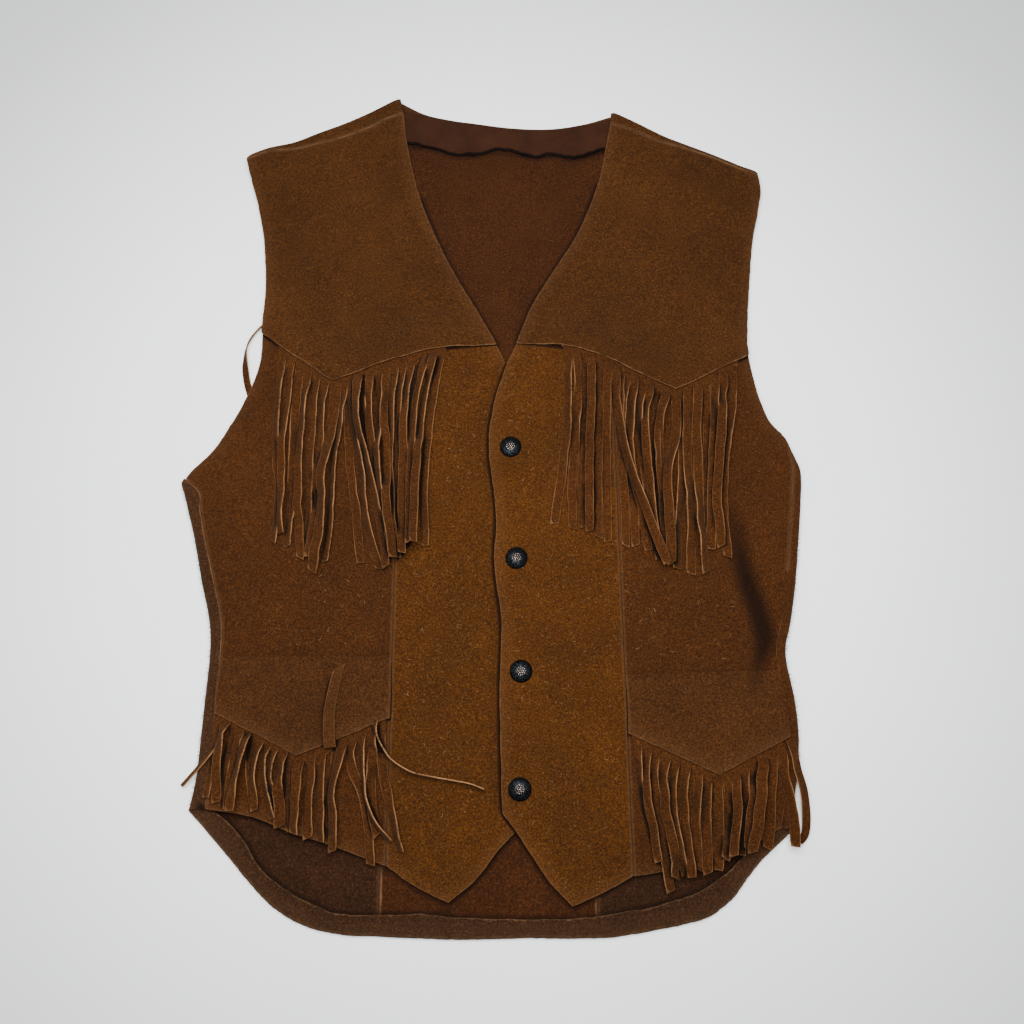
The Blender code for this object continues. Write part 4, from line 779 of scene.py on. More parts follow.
def finished(name, bm, *materials):
    """An object of that bmesh with these materials."""
    mesh = bpy.data.meshes.new(name)
    bm.to_mesh(mesh)
    bm.free()
    thing = bpy.data.objects.new(name, mesh)
    bpy.context.scene.collection.objects.link(thing)
    for material in materials:
        mesh.materials.append(material)
    return thing


def dress(thing, node):
    """The piece rides on the vest and, if given a node, stands for it, with that node's CAD part hidden."""
    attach(thing, "root")
    if node:
        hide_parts(node)


# The fronts

def side_edge(inwards, y, inset=None):
    """Points of a side fold at these heights, moved in by the inset or to the side seam."""
    fold, seam = side_at(inwards, y)
    return np.stack([fold + inwards * (seam + SEAM_GAP if inset is None else inset), y], 1)


def shoulder_edge(line, across, shares, inset=None):
    """Points of a shoulder fold, moved in by the inset or to the shoulder seam."""
    x, y, seam = at(line, shares).T
    moved = seam + SEAM_GAP if inset is None else inset + 0 * seam
    return np.stack([x + across[0] * moved, y + across[1] * moved], 1)


def side_rows(inwards, top):
    """Heights of the rows of a side, from the hem to the armpit."""
    rows = SIDE_LINE[inwards]
    low, high = rows[0, 0], rows[-1, 0]
    return low + (high - low) * graded(high - low, last=top)


def front_side(name, inwards, armhole, hem, seam, yoke_edge, flap_edge, flap_top, height, hem_seed,
               seam_low):
    """The side panel of a front, from the vertical seam out to the side seam and armhole."""
    side = side_edge(inwards, side_rows(inwards, False))
    arm = curve(np.vstack([side[-1], armhole]))
    corner = cross_at(arm, yoke_edge[0][1] + YOKE_LAP)
    arm = np.vstack([arm[arm[:, 1] < corner[1]], corner])
    arm = wander(at(arm, graded(length_of(arm), first=False)), hem_seed, long=0.0002)
    outer = join(side, arm)
    v = (outer[:, 1] - outer[0, 1]) / (outer[-1, 1] - outer[0, 1])
    seam_x = [x - inwards * SEAM_GAP / 2 for x, _ in seam]
    inner_top = (seam_x[1], float(edge_y(yoke_edge, seam_x[1])) + YOKE_LAP)
    inner = at([(seam_x[0], seam[0][1]), inner_top], v)
    inner[:, 0] += seam_drift(inner[:, 1])
    point = (yoke_edge[1][0], yoke_edge[1][1] + YOKE_LAP)
    steps = graded(abs(point[0] - seam_x[1]), last=False), graded(abs(corner[0] - point[0]), first=False)
    top = join(at([inner_top, point], steps[0]), at([point, corner], steps[1]))
    u = join(INNER_SHARE * steps[0], INNER_SHARE + (1 - INNER_SHARE) * steps[1])
    bottom = wander(at(curve([inner[0]] + list(hem) + [outer[0]]), u), hem_seed + 5)
    flat = patch(bottom, top, inner, outer, u, v)

    # Painted shadow: the panel is painted darker just below the yoke's edge and round the flap's edges.
    def bare(x, y):
        top_edge = ((flap_edge[0][0], flap_top[0]), (flap_edge[2][0], flap_top[1]))
        round_flap = np.maximum(edge_y(flap_edge, x) - y, y - edge_y(top_edge, x) + TOP_EDGE_FAINT)
        return np.minimum(edge_y(yoke_edge, x) - y, round_flap)
    return cloth(
        name, flat, lambda x, y: height(x, y) + relief(x, y), SUEDE_SIDE, CUT_RIM,
        worn=[bottom, arm], seams=[inner, side[side[:, 1] > seam_low]], bare=bare,
    )


def seam_drift(y):
    """How far a vertical seam strays from its straight line at y."""
    return sum(far * ripple(0 * np.asarray(y), y, size, seed) for far, size, seed in SEAM_WAVES)


def front_centre(name, outwards, seam, hem, cut, edge, yoke_edge, height, edge_wave):
    """The centre panel of a front, from the vertical seam to the front edge."""
    seam_x = [x - outwards * SEAM_GAP / 2 for x, _ in seam]
    seam_top = (seam_x[1], float(edge_y(yoke_edge, seam_x[1])) + YOKE_LAP)
    v = graded(seam_top[1] - seam[0][1])
    outer = at([(seam_x[0], seam[0][1]), seam_top], v)
    outer[:, 0] += seam_drift(outer[:, 1])
    front_line = curve(edge)
    slope = front_line[-1] - front_line[-2]
    front_line = np.vstack([front_line, front_line[-1] + slope * (YOKE_LAP / slope[1])])
    inner = wander(at(front_line, v), 31.0, *edge_wave)
    half = graded(abs(hem[-1][0] - seam_x[0]), last=False), graded(length_of(cut), first=False)
    u = join(0.5 * half[0], 0.5 + 0.5 * half[1])
    top = at([outer[-1], inner[-1]], u)
    low = at(curve([outer[0]] + list(hem[1:])), half[0])
    point = at(curve(cut), half[1])
    bottom = join(wander(low, 41.0), wander(point, 43.0))
    bottom[-1], bottom[0] = inner[0], outer[0]
    flat = patch(bottom, top, outer, inner, u, v)

    # Painted shadow: darker just below the yoke's edge and, on the right front, beside the edge of the left
    # front that laps over it.
    def bare(x, y):
        under_yoke = (edge_y(yoke_edge, x) - y) * YOKE_SHADOW_THIN
        if outwards > 0:
            return under_yoke
        overlap = np.vstack([curve(LEFT_CENTRE_CUT), curve(OVERLAP_FRONT)])
        order = np.argsort(overlap[:, 1])
        beside = np.interp(y, overlap[order, 1], overlap[order, 0]) - x
        return np.minimum(under_yoke, beside - OVERLAP_SHADOW)
    return cloth(
        name, flat, lambda x, y: height(x, y) + relief(x, y), SUEDE_CENTRE, EDGE_DARK,
        worn=[bottom, inner], seams=[outer], bare=bare,
    )


def front_yoke(name, line, across, armhole, yoke_edge, neck, height, ends, seed):
    """The upper part of a front, lapped over the panels below it."""
    corner = yoke_edge[1]
    parts = [yoke_edge[:2], curve(yoke_edge[1:])]
    share = length_of(parts[0]) / (length_of(parts[0]) + length_of(parts[1]))
    steps = graded(length_of(parts[0]), last=False), graded(length_of(parts[1]), first=False)
    u = join(share * steps[0], share + (1 - share) * steps[1])
    bottom = wander(join(at(parts[0], steps[0]), at(parts[1], steps[1])), seed, 0.0004, 0.0007)
    top = shoulder_edge(line, across, u)
    arm = curve(list(armhole) + [tuple(top[0])])
    arm = np.vstack([yoke_edge[0], arm[arm[:, 1] > yoke_edge[0][1]]])
    neckline = curve(list(neck) + [tuple(top[-1])])
    v = graded(length_of(neckline))
    arm = wander(at(arm, v), seed + 7, long=0.0002)
    neckline = wander(at(neckline, v), seed + 9, long=0.0002)
    bottom[0], bottom[-1] = arm[0], neckline[0]
    flat = patch(bottom, top, arm, neckline, u, v)
    over = lapped(height, yoke_edge, YOKE_LAP, 0.0, ends)
    return cloth(
        name, flat, lambda x, y: over(x, y) + relief(x, y), SUEDE_YOKE, CUT_RIM,
        pale=[bottom], worn=[arm, neckline], seams=[top],
    )


def pocket_flap(name, inwards, top_y, flap_edge, seam, height, seed, shaded=None):
    """A pointed flap sewn between the side seam and the vertical seam."""
    v = graded(top_y[0] - flap_edge[0][1])
    outer_y = flap_edge[0][1] + (top_y[0] - flap_edge[0][1]) * v
    outer = side_edge(inwards, outer_y)
    inner_y = flap_edge[2][1] + (top_y[1] - flap_edge[2][1]) * v
    line_x = np.interp(inner_y, [seam[0][1], seam[1][1]], [seam[0][0], seam[1][0]])
    inner = np.stack([line_x - inwards * SEAM_GAP + seam_drift(inner_y), inner_y], 1)
    point = flap_edge[1]
    share = abs(point[0] - outer[0, 0]) / abs(inner[0, 0] - outer[0, 0])
    steps = graded(abs(point[0] - outer[0, 0]), last=False), graded(abs(inner[0, 0] - point[0]), first=False)
    u = join(share * steps[0], share + (1 - share) * steps[1])
    bottom = join(at([outer[0], point], steps[0]), at([point, inner[0]], steps[1]))
    bottom = wander(bottom, seed, 0.0003, 0.0004)
    top = wander(at([outer[-1], inner[-1]], u), seed + 2, 0.0002, 0.0004)
    flat = patch(bottom, top, outer, inner, u, v)
    over = lapped(height, flap_edge, FLAP_LAP, FLAP_RAISE, (-FAR * 10, FAR * 10))
    top_edge = ((outer[-1, 0], top_y[0]), (inner[-1, 0], top_y[1]))

    def lying(x, y):
        near_top = fall(edge_y(top_edge, x) - y, FLAP_TOP_EASE)
        return over(x, y) + relief(x, y) - (FLAP_RAISE - FLAP_TOP_STEP) * near_top
    # Where shaded is given, the flap is painted darker beside that line as a painted shadow of the
    # turned-back strand.
    return cloth(
        name, flat, lying, SUEDE_FLAP, FLAP_RIM, worn=[bottom],
        seams=[inner] + ([outer] if inwards > 0 else []),
        bare=(lambda x, y: distance_to(x, y, [curve(shaded)])) if shaded else None,
    )


# The back

def back_armhole(inwards, armhole, tip):
    """The back's armhole, armpit to shoulder, set in from the front's."""
    start = side_edge(inwards, np.array([SIDE_LINE[inwards][-1, 0]]), SIDE_ROLL)[0]
    line = curve(np.vstack([start, armhole, tip]))
    line[:, 0] += inwards * BACK_ARMHOLE_INSET * np.sin(math.pi * np.linspace(0, 1, len(line)))
    return line


def yoke_seam(x):
    """The point at x on the back yoke's lower seam."""
    return (x, float(edge_y((RIGHT_BACK_CORNER, BACK_YOKE_POINT, LEFT_BACK_CORNER), x)))


def end_ease(distance):
    """How far a rolled fold has rounded off at this distance from its end, 0 to 1."""
    near = max(0.0, 1 - distance / END_EASE)
    return 1 - math.sqrt(1 - min(1.0, near) ** 2)


def rolled(fold, across, radius, seam, ease=0.0):
    """Places round a rolled edge, from the floor to the seam on top: out, in and height."""
    angle = math.pi * np.array(ROLL_TURNS)
    reach = min(radius, seam)
    out = reach - reach * np.sin(angle) * (1 - ease)
    height = radius - radius * np.cos(angle)
    past = np.array(SEAM_RUN)
    run = np.concatenate([out, reach + (seam - reach) * past])
    rise = np.concatenate([height, 0 * past + 2 * radius])
    return np.stack([fold[0] + across[0] * run, fold[1] + across[1] * run, rise], 1)


def floor_relief(x, y):
    """The small unevenness of the back where it lies on the floor."""
    open_part = fall(np.abs(np.asarray(x) - 0.01) / 0.05 - (np.asarray(y) - 0.10) / 0.16, 0.6)
    return BACK_LIFT + BACK_WAVE * ripple(x, y, 0.040, 12.0) + BACK_OPEN_WAVE * open_part * (
        0.5 + 0.5 * ripple(x, y, 0.055, 14.0))


def in_shadow(x, y):
    """Distance of a place of the lower back from the hems above it and the turned hem's edge, which sets the
    painted shadow beneath them.
    """
    above = [
        curve((RIGHT_SIDE_LOW,) + RIGHT_SIDE_HEM[::-1] + RIGHT_CENTRE_HEM), curve(RIGHT_CENTRE_CUT),
        curve(LEFT_CENTRE_CUT), curve((LEFT_SIDE_LOW,) + LEFT_SIDE_HEM[::-1] + LEFT_CENTRE_HEM),
        curve(HEM_TURN),
    ]
    return SHADOW_START + SHADOW_SPREAD * distance_to(x, y, above)


def back_side(name, inwards, armhole, corner, tip, hem, finish, seam_low):
    """A side of the back: it lies on the floor and rolls round to the side seam."""
    low = back_armhole(inwards, armhole, tip)
    corner = (corner[0], corner[1] - SEAM_GAP)
    low = np.vstack([low[low[:, 1] < corner[1]], corner])
    side_y = side_rows(inwards, False)
    low = at(low, graded(length_of(low), first=False))
    outer = join(side_edge(inwards, side_y, SIDE_ROLL), low)
    v = (outer[:, 1] - outer[0, 1]) / (outer[-1, 1] - outer[0, 1])
    seam_x = -inwards * (BACK_SEAM + SEAM_GAP / 2)
    seam_top = (seam_x, yoke_seam(seam_x)[1] - SEAM_GAP)
    inner = at([(seam_x, hem[-1][1]), seam_top], v)
    u = graded(abs(corner[0] - seam_x), CELL, last=False)
    bottom = at(curve([inner[0]] + list(hem[1:-1][::-1]) + [outer[0]]), u)
    top = at([inner[-1], outer[-1]], u)
    flat = patch(bottom, top, inner, outer, u, v)
    x, y = flat[..., 0], flat[..., 1]
    inside = fall(BACK_LEVEL - np.abs(x - outer[:, 0][:, None]), BACK_LEVEL)
    places = np.dstack([x, y, floor_relief(x, y) * inside])
    rows = []
    for k, line in enumerate(places):
        row_y = side_y[min(k, len(side_y) - 1)]
        fold, seam = side_at(inwards, row_y)
        ease = end_ease(side_y[-1] - row_y)
        roll = rolled((float(fold), row_y), (inwards, 0), SIDE_ROLL, float(seam), ease)
        rows.append(np.vstack([line, roll]))
    places = np.array(rows)
    high, size, seed = SIDE_BAND_WAVE
    on_top = places[..., 2] > SIDE_ROLL
    places[..., 2] += high * ripple(places[..., 0], places[..., 1], size, seed) * on_top
    flat_columns, seam_row = len(u), len(side_y) - 1
    raw_edge = places[:seam_row + 1, -1]
    return cloth(
        name, places, None, finish, CUT_RIM, faces_down=True, rounded=False,
        worn=[bottom, low], pale=[raw_edge] if inwards > 0 else [],
        seams=[inner] + ([] if inwards > 0 else [raw_edge[raw_edge[:, 1] > seam_low]]),
        inside=SUEDE_LOW_INSIDE, bare=in_shadow,
        keep=lambda column, row: column < flat_columns - 1 or row < seam_row,
        cut=(abs(corner[0] - seam_x) + ROLL_CUT, outer[-1, 1] - bottom[0, 1]),
    )


def back_centre(name):
    """The middle of the back, between its two vertical seams."""
    half = BACK_SEAM - SEAM_GAP / 2
    hem_right, hem_left = (-half, BACK_HEM_MIDDLE[0][1]), (half, BACK_HEM_MIDDLE[-1][1])
    corners = [yoke_seam(x) for x in (-half, BACK_YOKE_POINT[0], half)]
    right, point, left = [(x, y - SEAM_GAP) for x, y in corners]
    steps = graded(point[0] - right[0], last=False), graded(left[0] - point[0], first=False)
    share = (point[0] - right[0]) / (left[0] - right[0])
    u = join(share * steps[0], share + (1 - share) * steps[1])
    v = graded(right[1] - hem_right[1])
    hem = at(curve([hem_right] + list(BACK_HEM_MIDDLE[1:-1]) + [hem_left]), u)
    top = join(at([right, point], steps[0]), at([point, left], steps[1]))
    side_right, side_left = at([hem_right, right], v), at([hem_left, left], v)
    flat = patch(hem, top, side_right, side_left, u, v)
    return cloth(
        name, flat, floor_relief, SUEDE_INSIDE, CUT_RIM, faces_down=True, rounded=False,
        worn=[hem], pale=[side_right + (LAP_INSIDE, 0), side_left - (LAP_INSIDE, 0)],
        seams=[side_right, side_left, top], bare=in_shadow,
    )


def shoulder_rolls(line, across, shares):
    """The rolled edge of a shoulder, rounded off towards the neck and the armhole."""
    whole = length_of(line)
    return [rolled((x, y), across, SHOULDER_ROLL, seam, end_ease(min(share, 1 - share) * whole))
            for (x, y, seam), share in zip(at(line, shares), shares)]


def back_yoke(name):
    """The upper back, which rolls over both shoulders to the seams on top."""
    shares = graded(length_of(RIGHT_SHOULDER_LINE), last=False)
    mirrored = graded(length_of(LEFT_SHOULDER_LINE), first=False)
    right_floor = shoulder_edge(RIGHT_SHOULDER_LINE, RIGHT_ACROSS, shares, SHOULDER_ROLL)
    left_floor = shoulder_edge(LEFT_SHOULDER_LINE[::-1], LEFT_ACROSS, mirrored, SHOULDER_ROLL)
    neck = curve([right_floor[-1]] + list(BACK_NECK) + [left_floor[0]])
    neck = at(neck, graded(length_of(neck), first=False, last=False))
    top = join(right_floor, neck, left_floor)
    steps = np.linalg.norm(np.diff(top, axis=0), axis=1)
    u = np.concatenate([[0], np.cumsum(steps)]) / steps.sum()
    arms = []
    for inwards, armhole, corner, tip in (
        (1, RIGHT_ARMHOLE, RIGHT_BACK_CORNER, right_floor[0]),
        (-1, LEFT_ARMHOLE, LEFT_BACK_CORNER, left_floor[-1]),
    ):
        line = back_armhole(inwards, armhole, tip)
        arms.append(np.vstack([corner, line[line[:, 1] > corner[1]]]))
    v = graded(length_of(arms[0]), last=False)
    arms = [at(line, v) for line in arms]
    bottom = at([RIGHT_BACK_CORNER, BACK_YOKE_POINT, LEFT_BACK_CORNER], u)
    flat = patch(bottom, top, arms[0], arms[1], u, v)
    x, y = flat[..., 0], flat[..., 1]
    near_top = fall(BACK_LEVEL - np.abs(y - top[None, :, 1]), BACK_LEVEL)
    places = list(np.dstack([x, y, floor_relief(x, y) * near_top]))
    rolls = shoulder_rolls(RIGHT_SHOULDER_LINE, RIGHT_ACROSS, shares)
    right_count, neck_count = len(rolls), len(neck)
    rolls += [rolls[0]] * (neck_count - 2)
    rolls += shoulder_rolls(LEFT_SHOULDER_LINE[::-1], LEFT_ACROSS, mirrored)
    flat_rows = len(places)
    places = np.array(places + list(np.array(rolls).transpose(1, 0, 2)))
    seams = [places[-1, :right_count], places[-1, right_count + neck_count - 2:]]
    # The back is painted darker beside the fronts' neck edges and below the facing's edge, as painted shadow.
    return cloth(
        name, places, None, SUEDE_YOKE, CUT_RIM, faces_down=True, rounded=False,
        worn=[neck] + arms, seams=[bottom] + seams, inside=SUEDE_INSIDE,
        bare=lambda x, y: SHADOW_START + SHADOW_SPREAD * distance_to(
            x, y, [curve(RIGHT_NECK[:4]), curve(LEFT_NECK[:5]), curve(FACING_EDGE)]),
        keep=lambda column, row: (
            row < flat_rows - 1 or not right_count - 1 <= column < right_count + neck_count - 2),
        cut=BACK_YOKE_CUT,
    )


# What lies on the inside of the back

def back_hem(name):
    """The hem turned up on the inside of the back, round from its outer fold."""
    outline = list(BACK_HEM_RIGHT[1:-1]) + list(BACK_HEM_MIDDLE) + list(BACK_HEM_LEFT[::-1][1:-1])
    fold = curve([BACK_HEM_RIGHT[0]] + outline + [BACK_HEM_LEFT[0]])
    free = curve([HEM_FREE_ENDS[0]] + list(HEM_TURN) + [HEM_FREE_ENDS[1]])
    count = graded(length_of(fold), FINE_CELL, False, False)
    fold = wander(at(fold, count), 61.0, 0.0004, 0.0005)
    free = wander(at(free, count), 64.0, 0.0004, 0.0010)
    away = fold - free
    away /= np.linalg.norm(away, axis=1)[:, None]
    rows = []
    for out, rise in HEM_SECTION:
        rows.append(np.column_stack([fold + away * out, np.full(len(fold), rise)]))
    inner_rows = []
    for share in HEM_SHARES:
        flat = fold + (free - fold) * share
        full = math.sin(math.pi * min(1.0, share * 1.1))
        swell = HEM_SWELL + HEM_WAVE * ripple(flat[:, 0], flat[:, 1], 0.018, 66.0)
        inner_rows.append(np.column_stack([flat, HEM_TOP + swell * full - HEM_EDGE_DROP * (share == 1)]))
    places = np.array(rows + inner_rows)
    return cloth(
        name, places, None, SUEDE_HEM, FLAP_RIM, wall=HEM_WALL, worn=[fold],
        pale=[free - away * 0.0003], cut=HEM_CUT, rounded=False,
    )


def back_neck_facing(name):
    """The smooth facing inside the back neck, with its ragged lower edge."""
    lower, upper = curve(FACING_EDGE), curve(FACING_TOP)
    u = graded(length_of(upper), FACING_CELLS[0])
    v = graded(FACING_DEPTH, FACING_CELLS[1])
    lower = wander(at(lower, u), 71.0, 0.0010, 0.0014)
    upper = at(upper, u)
    flat = patch(lower, upper, at([lower[0], upper[0]], v), at([lower[-1], upper[-1]], v), u, v)

    def lying(x, y):
        uneven = 0.4 + 0.6 * ripple(x, 0 * x, 0.012, 73.0)
        curl = FACING_CURL * bell(distance_to(x, y, [lower]), FACING_CURL_WIDTH) * uneven
        return floor_relief(x, y) + 2 * SUEDE + LAYER_GAP + curl + 0.0003 * ripple(x, y, 0.014, 74.0)
    return cloth(
        name, flat, lying, FACING_LEATHER, CUT_DARK, pale=[lower], worn=[upper],
        rounded=False,
    )


# Fringes

def finer(values):
    """The same sheet of numbers with more rows and columns between."""
    rows, columns = values.shape
    down = np.linspace(0, rows - 1, (rows - 1) * 6 + 1)
    across = np.linspace(0, columns - 1, (columns - 1) * 3 + 1)
    tall = np.stack([np.interp(down, np.arange(rows), column) for column in values.T], 1)
    return np.stack([np.interp(across, np.arange(columns), row) for row in tall])


class Bed:
    """What strands lie on, as heights on a fine grid that each strand raises."""

    def __init__(self, low, high, height):
        self.low = low
        columns, rows = [int((high[k] - low[k]) / BED_CELL) + 2 for k in (0, 1)]
        x = low[0] + BED_CELL * np.arange(columns)
        y = low[1] + BED_CELL * np.arange(rows)
        self.bare = height(*np.meshgrid(x, y)) + LAYER_GAP
        self.top = self.bare.copy()

    def cell(self, x, y):
        column = ((x - self.low[0]) / BED_CELL).round().astype(int)
        row = ((y - self.low[1]) / BED_CELL).round().astype(int)
        return (
            np.clip(row, 0, self.top.shape[0] - 1), np.clip(column, 0, self.top.shape[1] - 1)
        )

    def raise_to(self, x, y, z):
        x, y, z = finer(x), finer(y), finer(z)
        np.maximum.at(self.top, self.cell(x, y), z)


def strand(bm, bed, line, width, tilt, rise=None, free=None, skew=0.0, turned=0.0):
    """A ribbon of cut suede along a line, tilted about it, lying on what is under it.

    Its vertices carry how far they lie at a cut edge, and whether its back is turned up.
    """
    count = len(line)
    step = np.gradient(line, axis=0)
    step /= np.linalg.norm(step, axis=1)[:, None] + 1e-9
    side = np.stack([-step[:, 1], step[:, 0]], 1)
    across = np.linspace(-0.5, 0.5, ACROSS_CELLS + 1)
    cosine, sine = np.cos(tilt)[:, None], np.sin(tilt)[:, None]
    out = across[None] * width[:, None] * cosine
    curl = (CUP + CURL * np.abs(sine)) * (across[None] * 2) ** 2
    up = width[:, None] * (across[None] * sine + curl)
    x = line[:, 0][:, None] + side[:, 0][:, None] * out
    y = line[:, 1][:, None] + side[:, 1][:, None] * out
    slant = skew * out * smooth((np.arange(count) - count + 4) / 3)[:, None]
    x, y = x + step[:, 0][:, None] * slant, y + step[:, 1][:, None] * slant
    if rise is None:
        inner = np.array([[0.12, 0.88]]) * ACROSS_CELLS
        narrow = [np.stack([np.interp(inner[0], range(ACROSS_CELLS + 1), row) for row in sheet])
                  for sheet in (x, y, up)]
        need = (bed.top[bed.cell(narrow[0], narrow[1])] - narrow[2]).max(1) + FRINGE_SUEDE / 2
        wide = np.array([need[max(0, k - 1):k + 2].max() for k in range(count)])
        rise = np.convolve(np.pad(wide, 2, "edge"), np.array([1, 2, 3, 2, 1]) / 9, "valid")
        if free is not None:
            bare = bed.bare[bed.cell(line[:, 0], line[:, 1])] + FRINGE_SUEDE / 2
            rise = bare + (rise - bare) * free
    z = rise[:, None] + up
    bed.raise_to(x, y, z + FRINGE_SUEDE / 2 * cosine)
    edge, back = bm.verts.layers.float["edge"], bm.verts.layers.float["turned"]
    made = bmesh.ops.create_grid(bm, x_segments=ACROSS_CELLS, y_segments=count - 1, size=1)["verts"]
    for v in made:
        column = round((v.co.x + 1) / 2 * ACROSS_CELLS)
        row = round((v.co.y + 1) / 2 * (count - 1))
        v.co = (x[row, column], y[row, column], z[row, column])
        at_edge = column in (0, ACROSS_CELLS) or row == count - 1
        v[edge] = float(at_edge) * (1.0 if free is None else float(free[row]))
        v[back] = turned


def fringe_mesh():
    """An empty mesh whose vertices can say that they lie at a cut edge or are turned over."""
    bm = bmesh.new()
    for key in ("edge", "turned"):
        bm.verts.layers.float.new(key)
    return bm


def fringe(edge, ends, lap, height, rows, seed):
    """A cut fringe: its strip under the lapped edge and its strands, one row for each."""
    bm = fringe_mesh()
    rows = np.array(rows, float)
    sides = rows[:, :5] * MM
    low = (sides.min() - 0.035, rows[:, 5].min() * MM - 0.02)
    high = (sides.max() + 0.035, max(y for _, y in edge) + 0.02)
    bed = Bed(low, high, lambda x, y: height(x, y) + relief(x, y))
    strip(bm, edge, ends, lap, height, seed)
    gaps = np.diff(sides[:, 0])
    pitch = np.maximum(np.append(gaps, gaps[-1]), np.append(gaps[0], gaps))
    for layer in range(3):
        for k in np.flatnonzero(rows[:, 11] == layer):
            root_y = float(edge_y(edge, sides[k, 0]))
            y = root_y + (rows[k, 5] * MM - root_y) * np.linspace(0, 1, 5)
            points = [(sides[k, 0], root_y + lap * 0.4)] + list(zip(sides[k], y))
            line = curve(points)
            count = int(length_of(line) / STRAND_STEP) + 2
            line = at(line, np.linspace(0, 1, count))
            down = root_y - line[:, 1]
            slit = HEADER * (0.55 + 0.45 * math.sin(k * 2.3 + seed))
            opened = smooth((down - slit) / 0.003)
            line[:, 0] += opened * (
                KINK * ripple(line[:, 1], 0 * down + k * 1.7, KINK_LENGTH, seed + 8)
                + KINK * ripple(line[:, 1], 0 * down + k * 2.9, KINK_LENGTH * 2.2, seed + 9))
            share = down / (root_y - rows[k, 5] * MM)
            tilts = TILT_SHARE * np.array([0, *rows[k, 7:11], rows[k, 10] * 0.7])
            lean = np.radians(np.interp(share, TILT_PLACES, tilts))
            lean += 0.10 * ripple(share, 0 * share + k * 0.7, 0.15, seed + 4)
            width = STRAND_SPREAD * rows[k, 6] * MM * (1 - 0.10 * smooth((share - 0.93) / 0.07))
            width = width * (1 + 0.05 * ripple(share, 0 * share + k, 0.16, seed + 6))
            width = width + (pitch[k] * 1.12 - width) * (1 - opened)
            strand(bm, bed, line, width, lean * opened, None, smooth((down - slit) / SLIT_RISE),
                   SKEW * math.sin(k * 4.1 + seed * 2))
    return bm, bed


def strip(bm, edge, ends, lap, height, seed):
    """The uncut strip from which the strands hang, mostly under the lapped edge."""
    count = int((ends[1] - ends[0]) / CELL)
    made = bmesh.ops.create_grid(bm, x_segments=count, y_segments=STRIP_CELLS, size=1)["verts"]
    for v in made:
        x = ends[0] + STRIP_INSET + (ends[1] - ends[0] - 2 * STRIP_INSET) * (v.co.x + 1) / 2
        share = (v.co.y + 1) / 2
        k = (x - ends[0]) / CELL
        drop = HEADER * (0.25 + 0.15 * math.sin(k * 0.7 + seed))
        within = float(smooth(min(x - ends[0], ends[1] - x) / 0.010))
        drop = drop * within - STRIP_END - STRIP_END_RISE * (1 - within)
        y = float(edge_y(edge, x)) - drop + (drop + lap * STRIP_REACH) * share
        z = float(height(x, y) + relief(x, y)) + LAYER_GAP + FRINGE_SUEDE / 2 - 0.0001
        v.co = (x, y, z)


def fringe_piece(name, bm, bed):
    """The fringe as an object with the wall of its suede and its bevelled cut edges.

    Each vertex carries how low it lies between what stands up round it, which sets the painted crevice shade.
    """
    crevice_shade = bm.verts.layers.float.new("crevice_shade")
    place = np.array([v.co for v in bm.verts])
    raised = np.where(bed.top > bed.bare + 0.0002, bed.top, 0.0)
    crevice_shading = np.zeros(len(place))
    for reach in CREVICE_REACHES:
        for turn in np.linspace(0, 2 * math.pi, 8, endpoint=False):
            beside = bed.cell(place[:, 0] + reach * math.cos(turn), place[:, 1] + reach * math.sin(turn))
            crevice_shading += np.clip((raised[beside] - place[:, 2] - 0.0009) / reach, 0, 1.6)
    for v, value in zip(bm.verts, crevice_shading / (8 * len(CREVICE_REACHES))):
        v[crevice_shade] = value
    bm.normal_update()
    for f in bm.faces:
        if f.normal.z < 0:
            f.normal_flip()
        f.smooth = True
    thing = finished(name + "_strands", bm, SUEDE_STRAND, CUT_STRAND)
    thickness = thing.modifiers.new("wall", "SOLIDIFY")
    thickness.thickness = STRAND_WALL
    thickness.offset = 0
    thickness.material_offset_rim = 1
    worn = thing.modifiers.new("worn", "BEVEL")
    worn.width = 0.00016
    worn.segments = 1
    worn.limit_method = "ANGLE"
    worn.angle_limit = math.radians(50)
    dress(thing, name)
    return thing


def loose(bm, bed, rows, skew=0.0, turned=0.0):
    """A strand that lies its own way."""
    line = curve(rows) * MM
    line = at(line, np.linspace(0, 1, int(length_of(line) / STRAND_STEP * 2) + 2))
    strand(bm, bed, line[:, :2], line[:, 3], np.radians(line[:, 4] / MM), line[:, 2],
           skew=skew, turned=turned)


# Snaps

